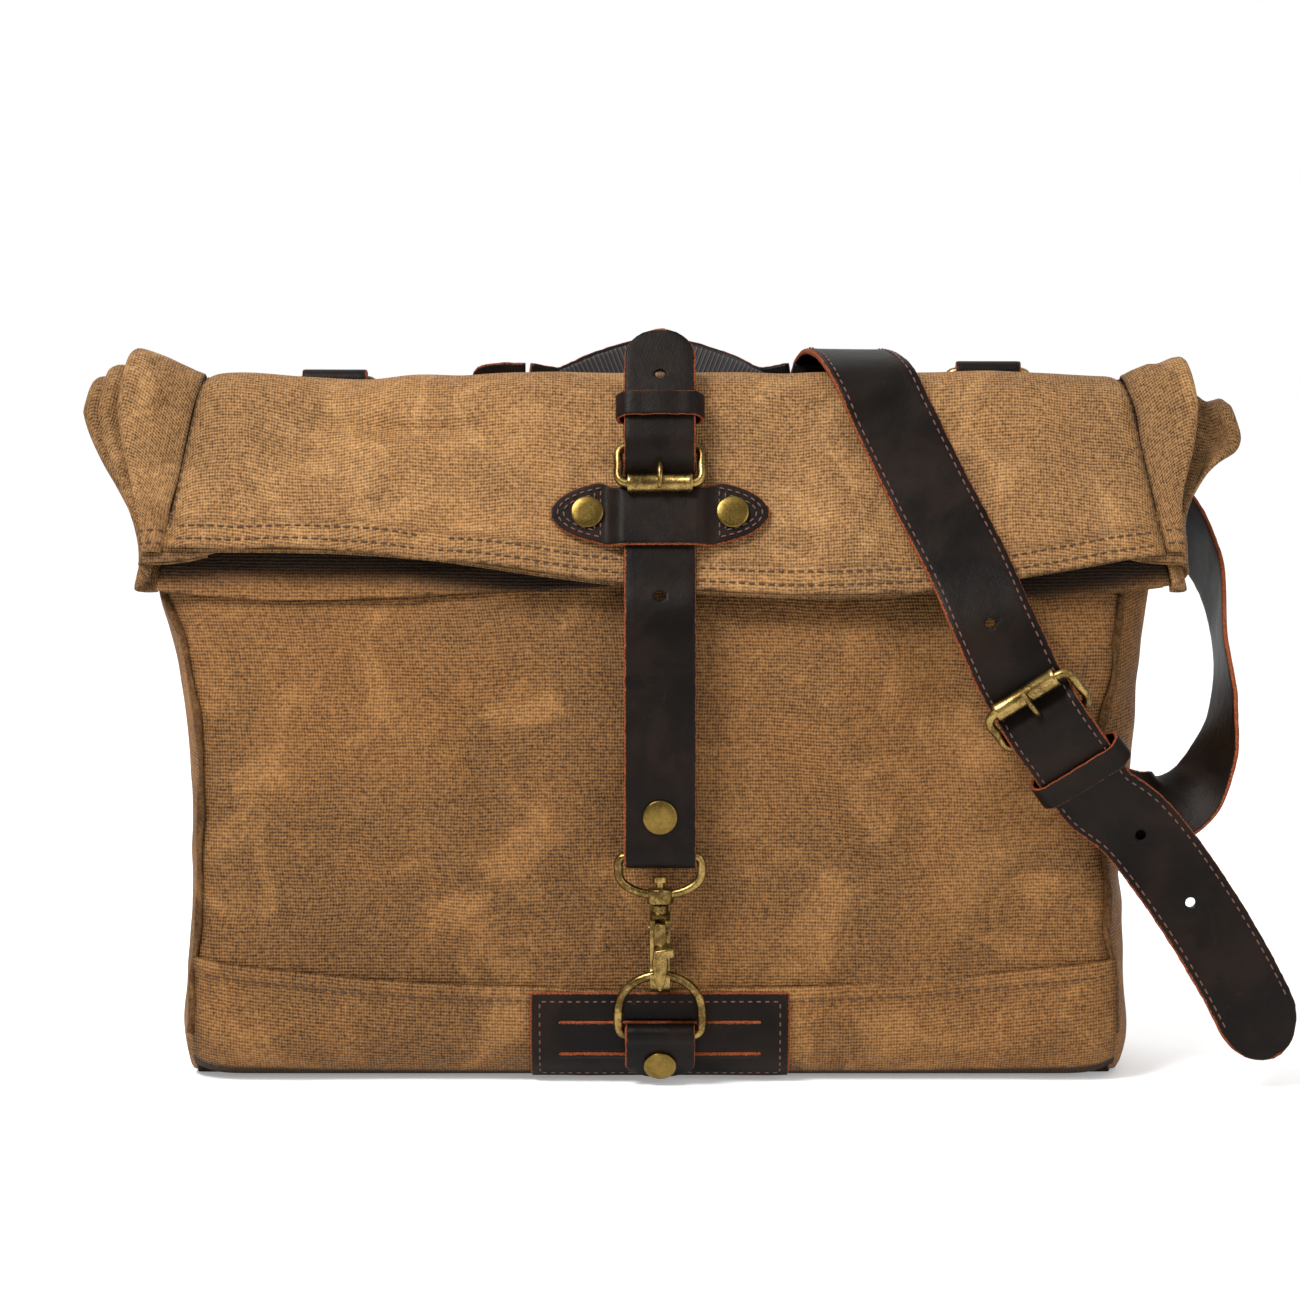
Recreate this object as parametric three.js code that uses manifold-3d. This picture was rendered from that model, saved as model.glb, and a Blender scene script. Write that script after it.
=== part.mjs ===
// A fold-over messenger bag of waxed canvas with leather straps and brass hardware.
// Millimetres, +Z up, the front of the bag faces -Y. The origin is the middle of the base, on the floor.
import * as THREE from "three";
import * as BufferGeometryUtils from "three/addons/utils/BufferGeometryUtils.js";
import Module from "manifold-3d";

const wasm = await Module();
wasm.setup();

const vector = (x, y, z) => new THREE.Vector3(x, y, z);
const lerp = THREE.MathUtils.lerp;
const degrees = THREE.MathUtils.degToRad;

// ---------- driving dimensions ----------
const CANVAS = 1.6; // thickness of one layer of canvas
const LEATHER = 2.4; // thickness of strap leather
const GAP = 0.4; // air kept between pieces that touch

const HALF_WIDTH = 187; // half the width of the front and back panels
const BASE_CORNER = 24; // radius where the boot turns from the floor into the walls
const BASE_HALF = 25; // half the flat width of the base
const BOOT_MIDDLE = 38; // height of the boot's seam in the middle
const BOOT_SIDE = 14; // how much higher that seam is at the sides

const FOLD_CENTRE = new THREE.Vector3(0, -8, 268); // the line about which the top folds over
const FOLD_OUTER = 17; // radius of the outer layer in the fold
const FOLD_INNER = 5; // radius of the inner layer in the fold
const FLAP_SLOPE = degrees(22); // how far the flap leans off vertical
const BACK_SLOPE = degrees(27); // lean of the back wall where the fold begins
const FRONT_SLOPE = degrees(25); // lean of the front wall where the fold begins
const FLAP_TOP_HALF = 190; // half the flap's width between its seams at the fold
const FLAP_HEM_HALF = 199; // the same at the hem
const FLAP_LENGTH_SIDE = 62; // flap length from the fold at its seams
const FLAP_LENGTH_MIDDLE = 80; // flap length from the fold in the middle
const EAR_TOP = 227; // how far the pleated gusset stands out at the fold
const EAR_HEM = 208; // the same at the hem

const CLOSURE_WIDTH = 28.5; // closure strap
const SHOULDER_WIDTH = 33; // shoulder strap
const WIRE = 1.9; // radius of ring and buckle wire
const RING_WIDTH = 33.2; // width of the rings and the eye between wire centres
const ROLLER = 3.9; // radius of a buckle's roller
const RIVET_CAP = 6.5; // radius of a rivet's cap

// ---------- finishes ----------
const finish = (color, roughness, metalness = 0) => ({ color, roughness, metalness });
const canvasFinish = finish(0x8a683f, 0.85);
const flapFinish = finish(0xa7845a, 0.85);
const leatherFinish = finish(0x2a211e, 0.5);
const brassFinish = finish(0x8a7438, 0.38, 0.9);
const webbingFinish = finish(0x1e1715, 0.9);
const liningFinish = finish(0x4b3d2c, 0.9);
const boardFinish = finish(0x1c1b1a, 0.7);

const group = new THREE.Group();
const mirrored = [["left", -1], ["right", 1]];

// ---------- solids ----------
function merged(geometry) {
  const plain = geometry.clone();
  plain.deleteAttribute("normal");
  plain.deleteAttribute("uv");
  return BufferGeometryUtils.mergeVertices(plain, 1e-4);
}

function signedVolume(geometry) {
  const at = geometry.attributes.position;
  const index = geometry.index.array;
  const corners = [vector(), vector(), vector()];
  let volume = 0;
  for (let i = 0; i < index.length; i += 3) {
    corners.forEach((corner, k) => corner.fromBufferAttribute(at, index[i + k]));
    volume += corners[0].dot(corners[1].clone().cross(corners[2])) / 6;
  }
  return volume;
}

// A closed mesh with its faces turned outwards.
function outward(geometry) {
  const closed = merged(geometry);
  if (signedVolume(closed) < 0) {
    const index = closed.index.array;
    for (let i = 0; i < index.length; i += 3) {
      [index[i], index[i + 1]] = [index[i + 1], index[i]];
    }
  }
  return closed;
}

function solid(geometry) {
  const closed = outward(geometry);
  return new wasm.Manifold(
    new wasm.Mesh({
      numProp: 3,
      vertProperties: new Float32Array(closed.attributes.position.array),
      triVerts: new Uint32Array(closed.index.array),
    }),
  );
}

function fromSolid(manifold) {
  const mesh = manifold.getMesh();
  const geometry = new THREE.BufferGeometry();
  geometry.setAttribute("position", new THREE.BufferAttribute(mesh.vertProperties, 3));
  geometry.setIndex(new THREE.BufferAttribute(mesh.triVerts, 1));
  return geometry;
}

const cut = (body, ...tools) => {
  return fromSolid(tools.reduce((rest, tool) => rest.subtract(solid(tool)), solid(body)));
};
const join = (...bodies) => fromSolid(bodies.map(solid).reduce((sum, body) => sum.add(body)));

function place(name, geometry, look) {
  const mesh = new THREE.Mesh(outward(geometry), new THREE.MeshStandardMaterial(look));
  mesh.name = name;
  group.add(mesh);
}

// A box whose points are moved by warp(a, b, c): a and c from -0.5 to 0.5, b from 0 to 1 along its length.
function warped(across, along, warp) {
  const geometry = new THREE.BoxGeometry(1, 1, 1, across, along, 1);
  const at = geometry.attributes.position;
  for (let i = 0; i < at.count; i += 1) {
    const point = warp(at.getX(i), at.getY(i) + 0.5, at.getZ(i));
    at.setXYZ(i, point.x, point.y, point.z);
  }
  return geometry;
}

// A sheet of even thickness about surface(u, v), with u and v from 0 to 1.
function sheet(across, along, thickness, surface) {
  const step = 1e-3;
  return warped(across, along, (a, v, c) => {
    const u = a + 0.5;
    const du = surface(Math.min(u + step, 1), v).sub(surface(Math.max(u - step, 0), v));
    const dv = surface(u, Math.min(v + step, 1)).sub(surface(u, Math.max(v - step, 0)));
    const normal = du.cross(dv).normalize();
    return surface(u, v).addScaledVector(normal, c * thickness);
  });
}

// A strap through stations [point, face normal]; width(b) is its width at b from 0 to 1.
function strap(stations, width, thickness, steps) {
  const path = new THREE.CatmullRomCurve3(stations.map(([point]) => point), false, "centripetal");
  const facing = new THREE.CatmullRomCurve3(stations.map(([, normal]) => normal), false, "catmullrom", 0.3);
  return warped(1, steps, (a, b, c) => {
    const along = path.getTangent(b);
    const normal = facing.getPoint(b);
    normal.addScaledVector(along, -normal.dot(along)).normalize();
    const side = along.clone().cross(normal);
    return path.getPoint(b).addScaledVector(side, a * width(b)).addScaledVector(normal, c * thickness);
  });
}

// Width of a strap with a round end over the last share of its length.
const roundEnd = (full, share) => (b) => {
  const past = Math.max(0, (b - (1 - share)) / share);
  return full * Math.max(0.3, Math.sqrt(Math.max(0, 1 - past * past)));
};

function roundedOutline(width, height, radius) {
  const shape = new THREE.Shape();
  const [w, h] = [width / 2, height / 2];
  shape.moveTo(-w + radius, -h);
  shape.lineTo(w - radius, -h);
  shape.absarc(w - radius, -h + radius, radius, -Math.PI / 2, 0);
  shape.lineTo(w, h - radius);
  shape.absarc(w - radius, h - radius, radius, 0, Math.PI / 2);
  shape.lineTo(-w + radius, h);
  shape.absarc(-w + radius, h - radius, radius, Math.PI / 2, Math.PI);
  shape.lineTo(-w, -h + radius);
  shape.absarc(-w + radius, -h + radius, radius, Math.PI, Math.PI * 1.5);
  return shape;
}

// A ring of round wire along a closed curve given as points(t), t from 0 to 1.
function wireLoop(points, radius, steps = 30, sides = 6) {
  const torus = new THREE.TorusGeometry(1, 0.1, sides, steps);
  const curve = new THREE.CatmullRomCurve3(points, true, "centripetal");
  const at = torus.attributes.position;
  const middle = points.reduce((sum, p) => sum.add(p), vector(0, 0, 0)).divideScalar(points.length);
  const [first, third] = [points[0], points[Math.floor(points.length / 3)]];
  const up = first.clone().sub(middle).cross(third.clone().sub(middle)).normalize();
  for (let i = 0; i < at.count; i += 1) {
    const angle = Math.atan2(at.getY(i), at.getX(i));
    const t = (angle / (2 * Math.PI) + 1) % 1;
    const out = Math.hypot(at.getX(i), at.getY(i)) - 1;
    const centre = curve.getPointAt(t);
    const side = curve.getTangentAt(t).cross(up).normalize();
    centre.addScaledVector(side, (out / 0.1) * radius).addScaledVector(up, (at.getZ(i) / 0.1) * radius);
    at.setXYZ(i, centre.x, centre.y, centre.z);
  }
  return torus;
}

// Round wire along an open path.
function wire(points, radius, steps = 12, sides = 8) {
  const section = new THREE.Shape();
  section.absarc(0, 0, radius, 0, 2 * Math.PI);
  return new THREE.ExtrudeGeometry(section, {
    steps,
    curveSegments: sides,
    bevelEnabled: false,
    extrudePath: new THREE.CatmullRomCurve3(points, false, "centripetal"),
  });
}

// A hollow roller about the X axis.
function roller(inner, outer, length, sides = 12) {
  const half = length / 2;
  const profile = [[inner, -half], [outer, -half], [outer, half], [inner, half], [inner, -half]];
  const geometry = new THREE.LatheGeometry(profile.map(([r, z]) => new THREE.Vector2(r, z)), sides);
  return geometry.rotateZ(-Math.PI / 2);
}

// A rivet about the Z axis: a domed cap on a shank that goes down into the leather.
function rivet(shank) {
  const cap = [[RIVET_CAP, 0], [RIVET_CAP, 0.9], [4.6, 1.6], [0, 1.9]];
  const profile = [[0, -shank], [1.6, -shank], [1.6, 0], ...cap];
  return new THREE.LatheGeometry(profile.map(([r, z]) => new THREE.Vector2(r, z)), 12).rotateX(Math.PI / 2);
}

// The frame that turns (across, along, up) into the bag's own frame.
function frameAt(origin, along, up) {
  const side = along.clone().cross(up).normalize();
  const matrix = new THREE.Matrix4().makeBasis(side, along.clone().normalize(), up.clone().normalize());
  return matrix.setPosition(origin);
}

// ---------- walls of the body ----------
const wallCurve = (points) => {
  const knots = points.map(([y, z]) => vector(0, y, z));
  return new THREE.CatmullRomCurve3(knots, false, "catmullrom", 0.4);
};
const arcPoint = (radius, angle) =>
  vector(0, FOLD_CENTRE.y + radius * Math.cos(angle), FOLD_CENTRE.z + radius * Math.sin(angle));
const foldFront = arcPoint(FOLD_INNER, -FRONT_SLOPE);
const foldBack = arcPoint(FOLD_OUTER, BACK_SLOPE);
const frontWall = wallCurve([
  [-46.1, 28], [-46.4, 55], [-46.6, 90], [-46.3, 130], [-44.2, 165], [-38.5, 195], [-27, 225], [-12.6, 250],
  [foldFront.y, foldFront.z],
]);
const backWall = wallCurve([
  [46.1, 28], [46.4, 55], [46.6, 90], [46.4, 130], [44.8, 165], [40.2, 195], [31, 225], [20.4, 250],
  [foldBack.y, foldBack.z],
]);

function heightToShare(curve, z) {
  let [low, high] = [0, 1];
  for (let i = 0; i < 40; i += 1) {
    const middle = (low + high) / 2;
    if (curve.getPoint(middle).z < z) low = middle;
    else high = middle;
  }
  return low;
}

const wallY = (curve, z) => curve.getPoint(heightToShare(curve, z)).y;

function wallPanel(curve, ends) {
  return sheet(4, 15, CANVAS, (u, v) => {
    const point = curve.getPoint(v * (1 - ends));
    return point.setX((u - 0.5) * 2 * HALF_WIDTH);
  });
}

place("front_panel", wallPanel(frontWall, 0.002), canvasFinish);
place("back_panel", wallPanel(backWall, 0.002), canvasFinish);

// The boot: from its seam on the front, down, under the base and up the back.
const bootRadius = BASE_CORNER - CANVAS / 2;
const bootTop = (x) => BOOT_MIDDLE + BOOT_SIDE * Math.abs(x / HALF_WIDTH) ** 2.5;

function bootPoint(v, top) {
  const rise = top - BASE_CORNER;
  const turn = (bootRadius * Math.PI) / 2;
  const half = rise + turn + BASE_HALF;
  const travelled = Math.abs(v - 0.5) * 2 * half;
  const side = v < 0.5 ? -1 : 1;
  if (travelled < BASE_HALF) return [side * travelled, CANVAS / 2];
  const around = Math.min((travelled - BASE_HALF) / bootRadius, Math.PI / 2);
  const up = Math.max(travelled - BASE_HALF - turn, 0);
  return [side * (BASE_HALF + bootRadius * Math.sin(around)), BASE_CORNER - bootRadius * Math.cos(around) + up];
}

place(
  "base_boot",
  sheet(6, 22, CANVAS, (u, v) => {
    const x = (u - 0.5) * 2 * (HALF_WIDTH + 0.5);
    const [y, z] = bootPoint(v, bootTop(x));
    return vector(x, y, z);
  }),
  canvasFinish,
);

// A gusset closes one side. Its sides follow the walls, and its top opens out into the pleated ear.
function gussetEdge(curve, side, v) {
  const low = BASE_CORNER + 4;
  const z = v * 262 + 3;
  if (z < low) {
    const reach = BASE_CORNER - 4;
    const drop = Math.min(Math.max((low - z) / reach, 0), 1);
    return [side * (BASE_HALF + (reach - 0.4) * Math.sqrt(Math.max(1 - drop * drop, 0))), z];
  }
  return [wallY(curve, z) - side * (CANVAS + GAP), z];
}

function earReach(z) {
  const rise = THREE.MathUtils.smoothstep(z, 185, 262);
  return 3 + 5 * THREE.MathUtils.smoothstep(z, 0, 60) + (EAR_TOP - HALF_WIDTH - 8) * rise;
}

for (const [sideName, side] of mirrored) {
  place(
    `gusset_${sideName}`,
    sheet(8, 14, CANVAS, (u, v) => {
      const [frontY, frontZ] = gussetEdge(frontWall, -1, v);
      const [backY] = gussetEdge(backWall, 1, v);
      const pleat = 1 - Math.abs(2 * u - 1) ** lerp(3, 1.25, v);
      return vector(side * (HALF_WIDTH - 1.2 + earReach(frontZ) * pleat), lerp(frontY, backY, u), frontZ);
    }),
    canvasFinish,
  );
}

// ---------- the fold and the flap ----------
const flapDown = vector(0, -Math.sin(FLAP_SLOPE), -Math.cos(FLAP_SLOPE));
const flapOut = vector(0, -Math.cos(FLAP_SLOPE), Math.sin(FLAP_SLOPE));
// A point on the flap: x across, s down from the fold, o outwards from the outer layer's middle.
const flapPoint = (x, s, o) =>
  FOLD_CENTRE.clone().addScaledVector(flapOut, FOLD_OUTER + o).addScaledVector(flapDown, s).setX(x);
const flapHalf = (s) => lerp(FLAP_TOP_HALF, FLAP_HEM_HALF, s / FLAP_LENGTH_SIDE);
const hemAt = (across) => {
  const aside = THREE.MathUtils.smoothstep(Math.abs(across), 0.1, 1);
  return lerp(FLAP_LENGTH_MIDDLE, FLAP_LENGTH_SIDE, aside);
};
const between = FOLD_OUTER - FOLD_INNER;

function foldLayer(radius, from) {
  const start = from + GAP / radius;
  const end = Math.PI - FLAP_SLOPE - GAP / radius;
  return sheet(2, 10, CANVAS, (u, v) =>
    arcPoint(radius, lerp(start, end, v)).setX((u - 0.5) * 2 * (FLAP_TOP_HALF - 1)),
  );
}

place("fold_outer", foldLayer(FOLD_OUTER, BACK_SLOPE), flapFinish);
place("fold_inner", foldLayer(FOLD_INNER, -FRONT_SLOPE), canvasFinish);

const flapLayer = (offset, longer) =>
  sheet(12, 4, CANVAS, (u, v) => {
    const across = 2 * u - 1;
    const s = v * (hemAt(across) + longer);
    return flapPoint(across * (flapHalf(s) - 1), s, offset);
  });

place("flap_outer", flapLayer(0, 0), flapFinish);
place("flap_inner", flapLayer(-between, 4), canvasFinish);

// The pleated gusset in section: out from the outer layer, round the pleat and back to the inner layer.
function pleatSection(u, half, reach) {
  const curve = new THREE.CatmullRomCurve3(
    [
      vector(half + GAP, 0, 0),
      vector(lerp(half, reach, 0.55), -1.2, 0),
      vector(reach - 2.5, -3, 0),
      vector(reach, -between / 2, 0),
      vector(reach - 2.5, -between + 3, 0),
      vector(lerp(half, reach, 0.55), -between + 1.2, 0),
      vector(half + GAP, -between, 0),
    ],
    false,
    "centripetal",
  );
  return curve.getPoint(u);
}

for (const [sideName, side] of mirrored) {
  place(
    `fold_gusset_${sideName}`,
    sheet(8, 7, CANVAS, (u, v) => {
      const section = pleatSection(u, FLAP_TOP_HALF, EAR_TOP);
      const start = lerp(BACK_SLOPE, -FRONT_SLOPE, u) + 0.07;
      const angle = lerp(start, Math.PI - FLAP_SLOPE - 0.03, v);
      return arcPoint(FOLD_OUTER + section.y, angle).setX(side * section.x);
    }),
    flapFinish,
  );
  place(
    `flap_gusset_${sideName}`,
    sheet(8, 3, CANVAS, (u, v) => {
      const s = v * (FLAP_LENGTH_SIDE + 2);
      const section = pleatSection(u, flapHalf(s), lerp(EAR_TOP, EAR_HEM, v));
      return flapPoint(side * section.x, s, section.y);
    }),
    flapFinish,
  );
}

// ---------- inside ----------
// The lining is a cup that follows the walls a little way in.
function cup(inset, floor, top, half) {
  return solid(
    warped(1, 14, (a, b, c) => {
      const z = lerp(floor, top, b);
      const low = Math.sqrt(Math.max(0, 1 - (Math.max(0, BASE_CORNER + 6 - z) / 24) ** 2));
      const [front, back] = [frontWall, backWall].map((curve) => wallY(curve, Math.max(z, 30)));
      const narrow = lerp(BASE_HALF / 46, 1, low);
      return vector(a * 2 * half, lerp((front + inset) * narrow, (back - inset) * narrow, c + 0.5), z);
    }),
  );
}

const LINING_GAP = 1.6;
const liningOuter = cup(LINING_GAP, 7, 246, HALF_WIDTH - 4);
const liningInner = cup(LINING_GAP + 0.9, 7.9, 250, HALF_WIDTH - 4.9);
place("lining", fromSolid(liningOuter.subtract(liningInner)), liningFinish);

const boardOutline = roundedOutline(350, 44, 8);
place(
  "base_board",
  new THREE.ExtrudeGeometry(boardOutline, { depth: 2.4, bevelEnabled: false, curveSegments: 3 })
    .translate(0, 0, 2.6),
  boardFinish,
);

const SLEEVE_HALF = 165;
const SLEEVE_TOP = 215;
const sleeveY = (z) => wallY(backWall, Math.max(z, 40)) - 17;
place(
  "laptop_sleeve",
  sheet(6, 10, 5, (u, v) => {
    const z = lerp(12, SLEEVE_TOP, v);
    return vector((u - 0.5) * 2 * SLEEVE_HALF, Math.min(sleeveY(z), 27), z);
  }),
  liningFinish,
);
place(
  "inner_pocket",
  sheet(6, 6, 0.8, (u, v) => {
    const z = lerp(70, 190, v);
    return vector((u - 0.5) * 200, wallY(frontWall, z) + 9 - 3 * Math.abs(2 * u - 1) ** 3, z);
  }),
  liningFinish,
);

// ---------- front patch, ring tab and ring ----------
const PATCH_WIDTH = 103;
const patchFace = BASE_HALF + BASE_CORNER; // the boot's outer face in front
// The front of the boot from the patch's top edge down: a distance along it gives a point and its normal.
function bootFront(distance, off) {
  const straight = BOOT_MIDDLE - BASE_CORNER;
  const angle = Math.max(0, (distance - straight) / BASE_CORNER);
  const z = distance < straight ? BOOT_MIDDLE - distance : BASE_CORNER - (BASE_CORNER + off) * Math.sin(angle);
  const out = vector(0, -Math.cos(angle), -Math.sin(angle));
  return [vector(0, -BASE_HALF - (BASE_CORNER + off) * Math.cos(angle), z), out];
}

const patchSheet = sheet(2, 14, 2, (u, v) => bootFront(1 + v * 37, GAP + 1)[0].setX((u - 0.5) * PATCH_WIDTH));
const slits = [11.5, 24].map((distance) => {
  const [point, normal] = bootFront(distance, 0);
  const frame = frameAt(point, vector(0, normal.z, -normal.y), normal);
  return new THREE.BoxGeometry(80, 1.2, 12).applyMatrix4(frame);
});
place("front_patch", cut(patchSheet, ...slits), leatherFinish);

const ringBar = vector(0, -(patchFace + GAP + 2 + GAP + 2 + WIRE + 0.6), 22);
const TAB_TURN = WIRE + 0.6 + 1; // radius of the tab's middle round the bar
const aroundBar = (angle) => [
  ringBar.clone().add(vector(0, Math.cos(angle), Math.sin(angle)).multiplyScalar(TAB_TURN)),
  vector(0, Math.cos(angle), Math.sin(angle)),
];
const tabBack = [27, 22].map((distance) => {
  const [point, normal] = bootFront(distance, GAP + 2 + GAP + 1);
  return [point, normal.negate()];
});
const tabFront = [18, 25, 31].map((distance, i) => {
  const [point, normal] = bootFront(distance, GAP + 2 + GAP + 2 + GAP + 1 + [2.9, 0.7, 0][i]);
  return [point, normal];
});
place(
  "ring_tab",
  strap(
    [...tabBack, ...[0, 45, 90, 135, 180].map((angle) => aroundBar(degrees(angle))), ...tabFront],
    roundEnd(28, 0.14),
    2,
    34,
  ),
  leatherFinish,
);

// A D-ring: a straight bar, and an arch that rises from it along up. A crown under 1 makes the arch squarer.
function dRing(bar, up, rise, crown = 1) {
  const half = RING_WIDTH / 2;
  const spring = 0.42; // where the arch begins, as a share of the rise
  const arch = [0, 22, 45, 67, 90].map((angle) => [
    Math.max(Math.cos(degrees(angle)), 0) ** crown,
    spring + (1 - spring) * Math.sin(degrees(angle)) ** crown,
  ]);
  const right = [[0.4, 0], [0.8, 0], [0.96, 0.06], ...arch];
  const left = right.slice(0, -1).reverse().map(([a, b]) => [-a, b]);
  return [...right, ...left].map(([a, b]) => {
    return bar.clone().add(vector(a * half, 0, 0)).addScaledVector(up, b * rise);
  });
}

const RING_RISE = 25.6;
const HOOK_Y = -61; // the swivel hook hangs in this plane
const ringLean = Math.asin((ringBar.y - HOOK_Y) / RING_RISE);
const ringUp = vector(0, -Math.sin(ringLean), Math.cos(ringLean));
place("front_ring", wireLoop(dRing(ringBar, ringUp, RING_RISE), WIRE), brassFinish);
const ringTop = ringBar.clone().addScaledVector(ringUp, RING_RISE);

function placeRivet(name, point, normal, shank) {
  const along = Math.abs(normal.x) < 0.9 ? vector(1, 0, 0).cross(normal).normalize() : vector(0, 0, 1);
  place(name, rivet(shank).applyMatrix4(frameAt(point, along, normal)), brassFinish);
}

// ---------- roller buckles ----------
// A roller buckle in (across, along, up).
// The strap runs under the roller and over the heel bar, towards +along.
function rollerBuckle(name, frame, { inner, reach, rollerUp, heelUp, rollerLength }) {
  const half = inner / 2 + WIRE;
  const level = (t) => lerp(rollerUp, heelUp, (t + reach) / (2 * reach));
  const corner = (a, b) => vector(a * half, b * reach, level(b * reach));
  const outline = [[0, -1], [0.8, -1], [1, -0.72], [1, 0], [1, 0.72], [0.8, 1], [0, 1]];
  const frameLoop = [...outline, ...outline.slice(1, 6).reverse().map(([a, b]) => [-a, b])];
  const rollerCentre = vector(0, -reach, rollerUp);
  const heelCentre = vector(0, reach, heelUp);
  const tonguePath = [
    heelCentre.clone().add(vector(0, -3.2, 0.6)),
    heelCentre.clone().add(vector(0, -6.5, 2)),
    rollerCentre.clone().add(vector(0, 5, 4.6)),
    rollerCentre.clone().add(vector(0, -1.5, 5.8)),
  ];
  const knuckle = roller(WIRE + 0.35, WIRE + 1.6, 4.4).translate(...heelCentre.toArray());
  const parts = {
    frame: wireLoop(frameLoop.map(([a, b]) => corner(a, b)), WIRE, 32),
    roller: roller(WIRE + 0.5, ROLLER, rollerLength).translate(...rollerCentre.toArray()),
    tongue: join(wire(tonguePath, 1.5), knuckle),
  };
  for (const part of Object.keys(parts)) {
    place(`${name}_buckle_${part}`, parts[part].applyMatrix4(frame), brassFinish);
  }
  // What the straps are cut by, so that tongue and knuckle pass through them.
  const tongueRoom = wire([heelCentre.clone(), ...tonguePath], 2.7).applyMatrix4(frame);
  const knuckleRoom = new THREE.CylinderGeometry(WIRE + 2.6, WIRE + 2.6, 6, 16).rotateZ(Math.PI / 2);
  knuckleRoom.translate(...heelCentre.toArray()).applyMatrix4(frame);
  return { tongueRoom, knuckleRoom };
}

// The chape folds round the heel bar: from the top layer's end, round the bar, and away below.
function chapeStations(reach, heelUp, topLength, below) {
  const turn = WIRE + 0.5 + 1;
  const around = [90, 135, 180, 225, 270].map((angle) => {
    const out = vector(0, Math.cos(degrees(angle)), Math.sin(degrees(angle)));
    return [vector(0, reach, heelUp).addScaledVector(out, turn), out];
  });
  const top = [vector(0, reach + topLength, heelUp + turn - 1.4), vector(0, 0, 1)];
  const topNear = [vector(0, reach + 6, heelUp + turn), vector(0, 0, 1)];
  return [top, topNear, ...around, ...below.map(([t, h]) => [vector(0, t, h), vector(0, 0, -1)])];
}

// The strap's rise from under the roller to over the heel bar.
const overHeel = (reach, lift) =>
  [[-2, 1.75, -0.1], [2.5, 2.3, -0.4], [7, 5.3, -0.9], [12, 9.9, -0.6], [16.5, 11.7, -0.1], [22, 11.9, 0]].map(
    ([t, h, lean]) => [vector(0, t - reach, h + lift), vector(0, lean, 1)],
  );

const intoBag = (stations, frame) =>
  stations.map(([point, normal]) => [point.clone().applyMatrix4(frame), normal.clone().transformDirection(frame)]);

function keeper(width, height, length, wall, frame, centre) {
  const outline = roundedOutline(width + 2 * wall, height + 2 * wall, 3);
  outline.holes.push(roundedOutline(width, height, 1.2));
  const band = new THREE.ExtrudeGeometry(outline, { depth: length, bevelEnabled: false, curveSegments: 3 });
  band.translate(0, 0, -length / 2).rotateX(Math.PI / 2);
  return band.translate(...centre.toArray()).applyMatrix4(frame);
}

// ---------- closure ----------
const flapFace = CANVAS / 2;
const BUCKLE_S = 29.4; // the closure buckle's middle, down the flap from the fold
const closureFrame = frameAt(flapPoint(0, BUCKLE_S, flapFace), flapDown.clone().negate(), flapOut);
const closureBuckle = {
  inner: RING_WIDTH - 2 * WIRE,
  reach: 8,
  rollerUp: 7.6,
  heelUp: 5.6,
  rollerLength: 26,
};
const closureCuts = rollerBuckle("closure", closureFrame, closureBuckle);

const chape = intoBag(
  chapeStations(closureBuckle.reach, closureBuckle.heelUp, 20, [[14, 3.2], [29, 3.7], [38, 1.7]]),
  closureFrame,
);
place(
  "closure_chape",
  cut(strap(chape, () => CLOSURE_WIDTH - 1, 2, 30), closureCuts.knuckleRoom, closureCuts.tongueRoom),
  leatherFinish,
);

// The closure strap on the flap, upwards from the bridge to the free tip.
const closureUp = intoBag(
  [
    [vector(0, -36, 1.7), vector(0, 0, 1)],
    [vector(0, -22, 1.7), vector(0, 0, 1)],
    ...overHeel(closureBuckle.reach, 0),
    [vector(0, 30, 11.2), vector(0, 0.05, 1)],
    [vector(0, 44, 9), vector(0, 0.05, 1)],
    [vector(0, 57, 7.2), vector(0, 0, 1)],
  ],
  closureFrame,
);
const punch = (x, y, h, frame) => {
  const peg = new THREE.CylinderGeometry(2.2, 2.2, 20, 10).rotateX(Math.PI / 2);
  return peg.translate(x, y, h).applyMatrix4(frame);
};
place(
  "closure_strap_upper",
  cut(
    strap(closureUp, roundEnd(CLOSURE_WIDTH, 0.1), LEATHER, 44),
    closureCuts.tongueRoom,
    punch(0, 37, 9, closureFrame),
  ),
  leatherFinish,
);
const closureKeeper = keeper(CLOSURE_WIDTH + 1, 11.4, 9, 1.6, closureFrame, vector(0, 23.5, 7.95));
place("closure_keeper", closureKeeper, leatherFinish);

// The bridge: lobes sewn to the flap at both sides, and a raised middle that the strap slides under.
const BRIDGE_HALF = 43;
const bridgeHeight = (x) => 1.3 + 3.1 * (1 - THREE.MathUtils.smoothstep(Math.abs(x), 14.5, 21));
const bridgeHalfLength = (x) => {
  const out = Math.abs(x) / BRIDGE_HALF;
  return Math.abs(x) < 21 ? 10.5 : 14.5 * Math.sqrt(Math.max(0.04, 1 - out ** 2.6));
};
place(
  "strap_bridge",
  sheet(24, 2, 1.8, (u, v) => {
    const x = (2 * u - 1) * BRIDGE_HALF;
    const shift = Math.abs(x) < 21 ? 3.6 : 0;
    return flapPoint(x, 48 + shift + (2 * v - 1) * bridgeHalfLength(x), flapFace + bridgeHeight(x));
  }),
  leatherFinish,
);
for (const [sideName, side] of mirrored) {
  placeRivet(`bridge_rivet_${sideName}`, flapPoint(side * 29, 48, flapFace + 2.2 + 0.35), flapOut, 0.3);
}

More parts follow.
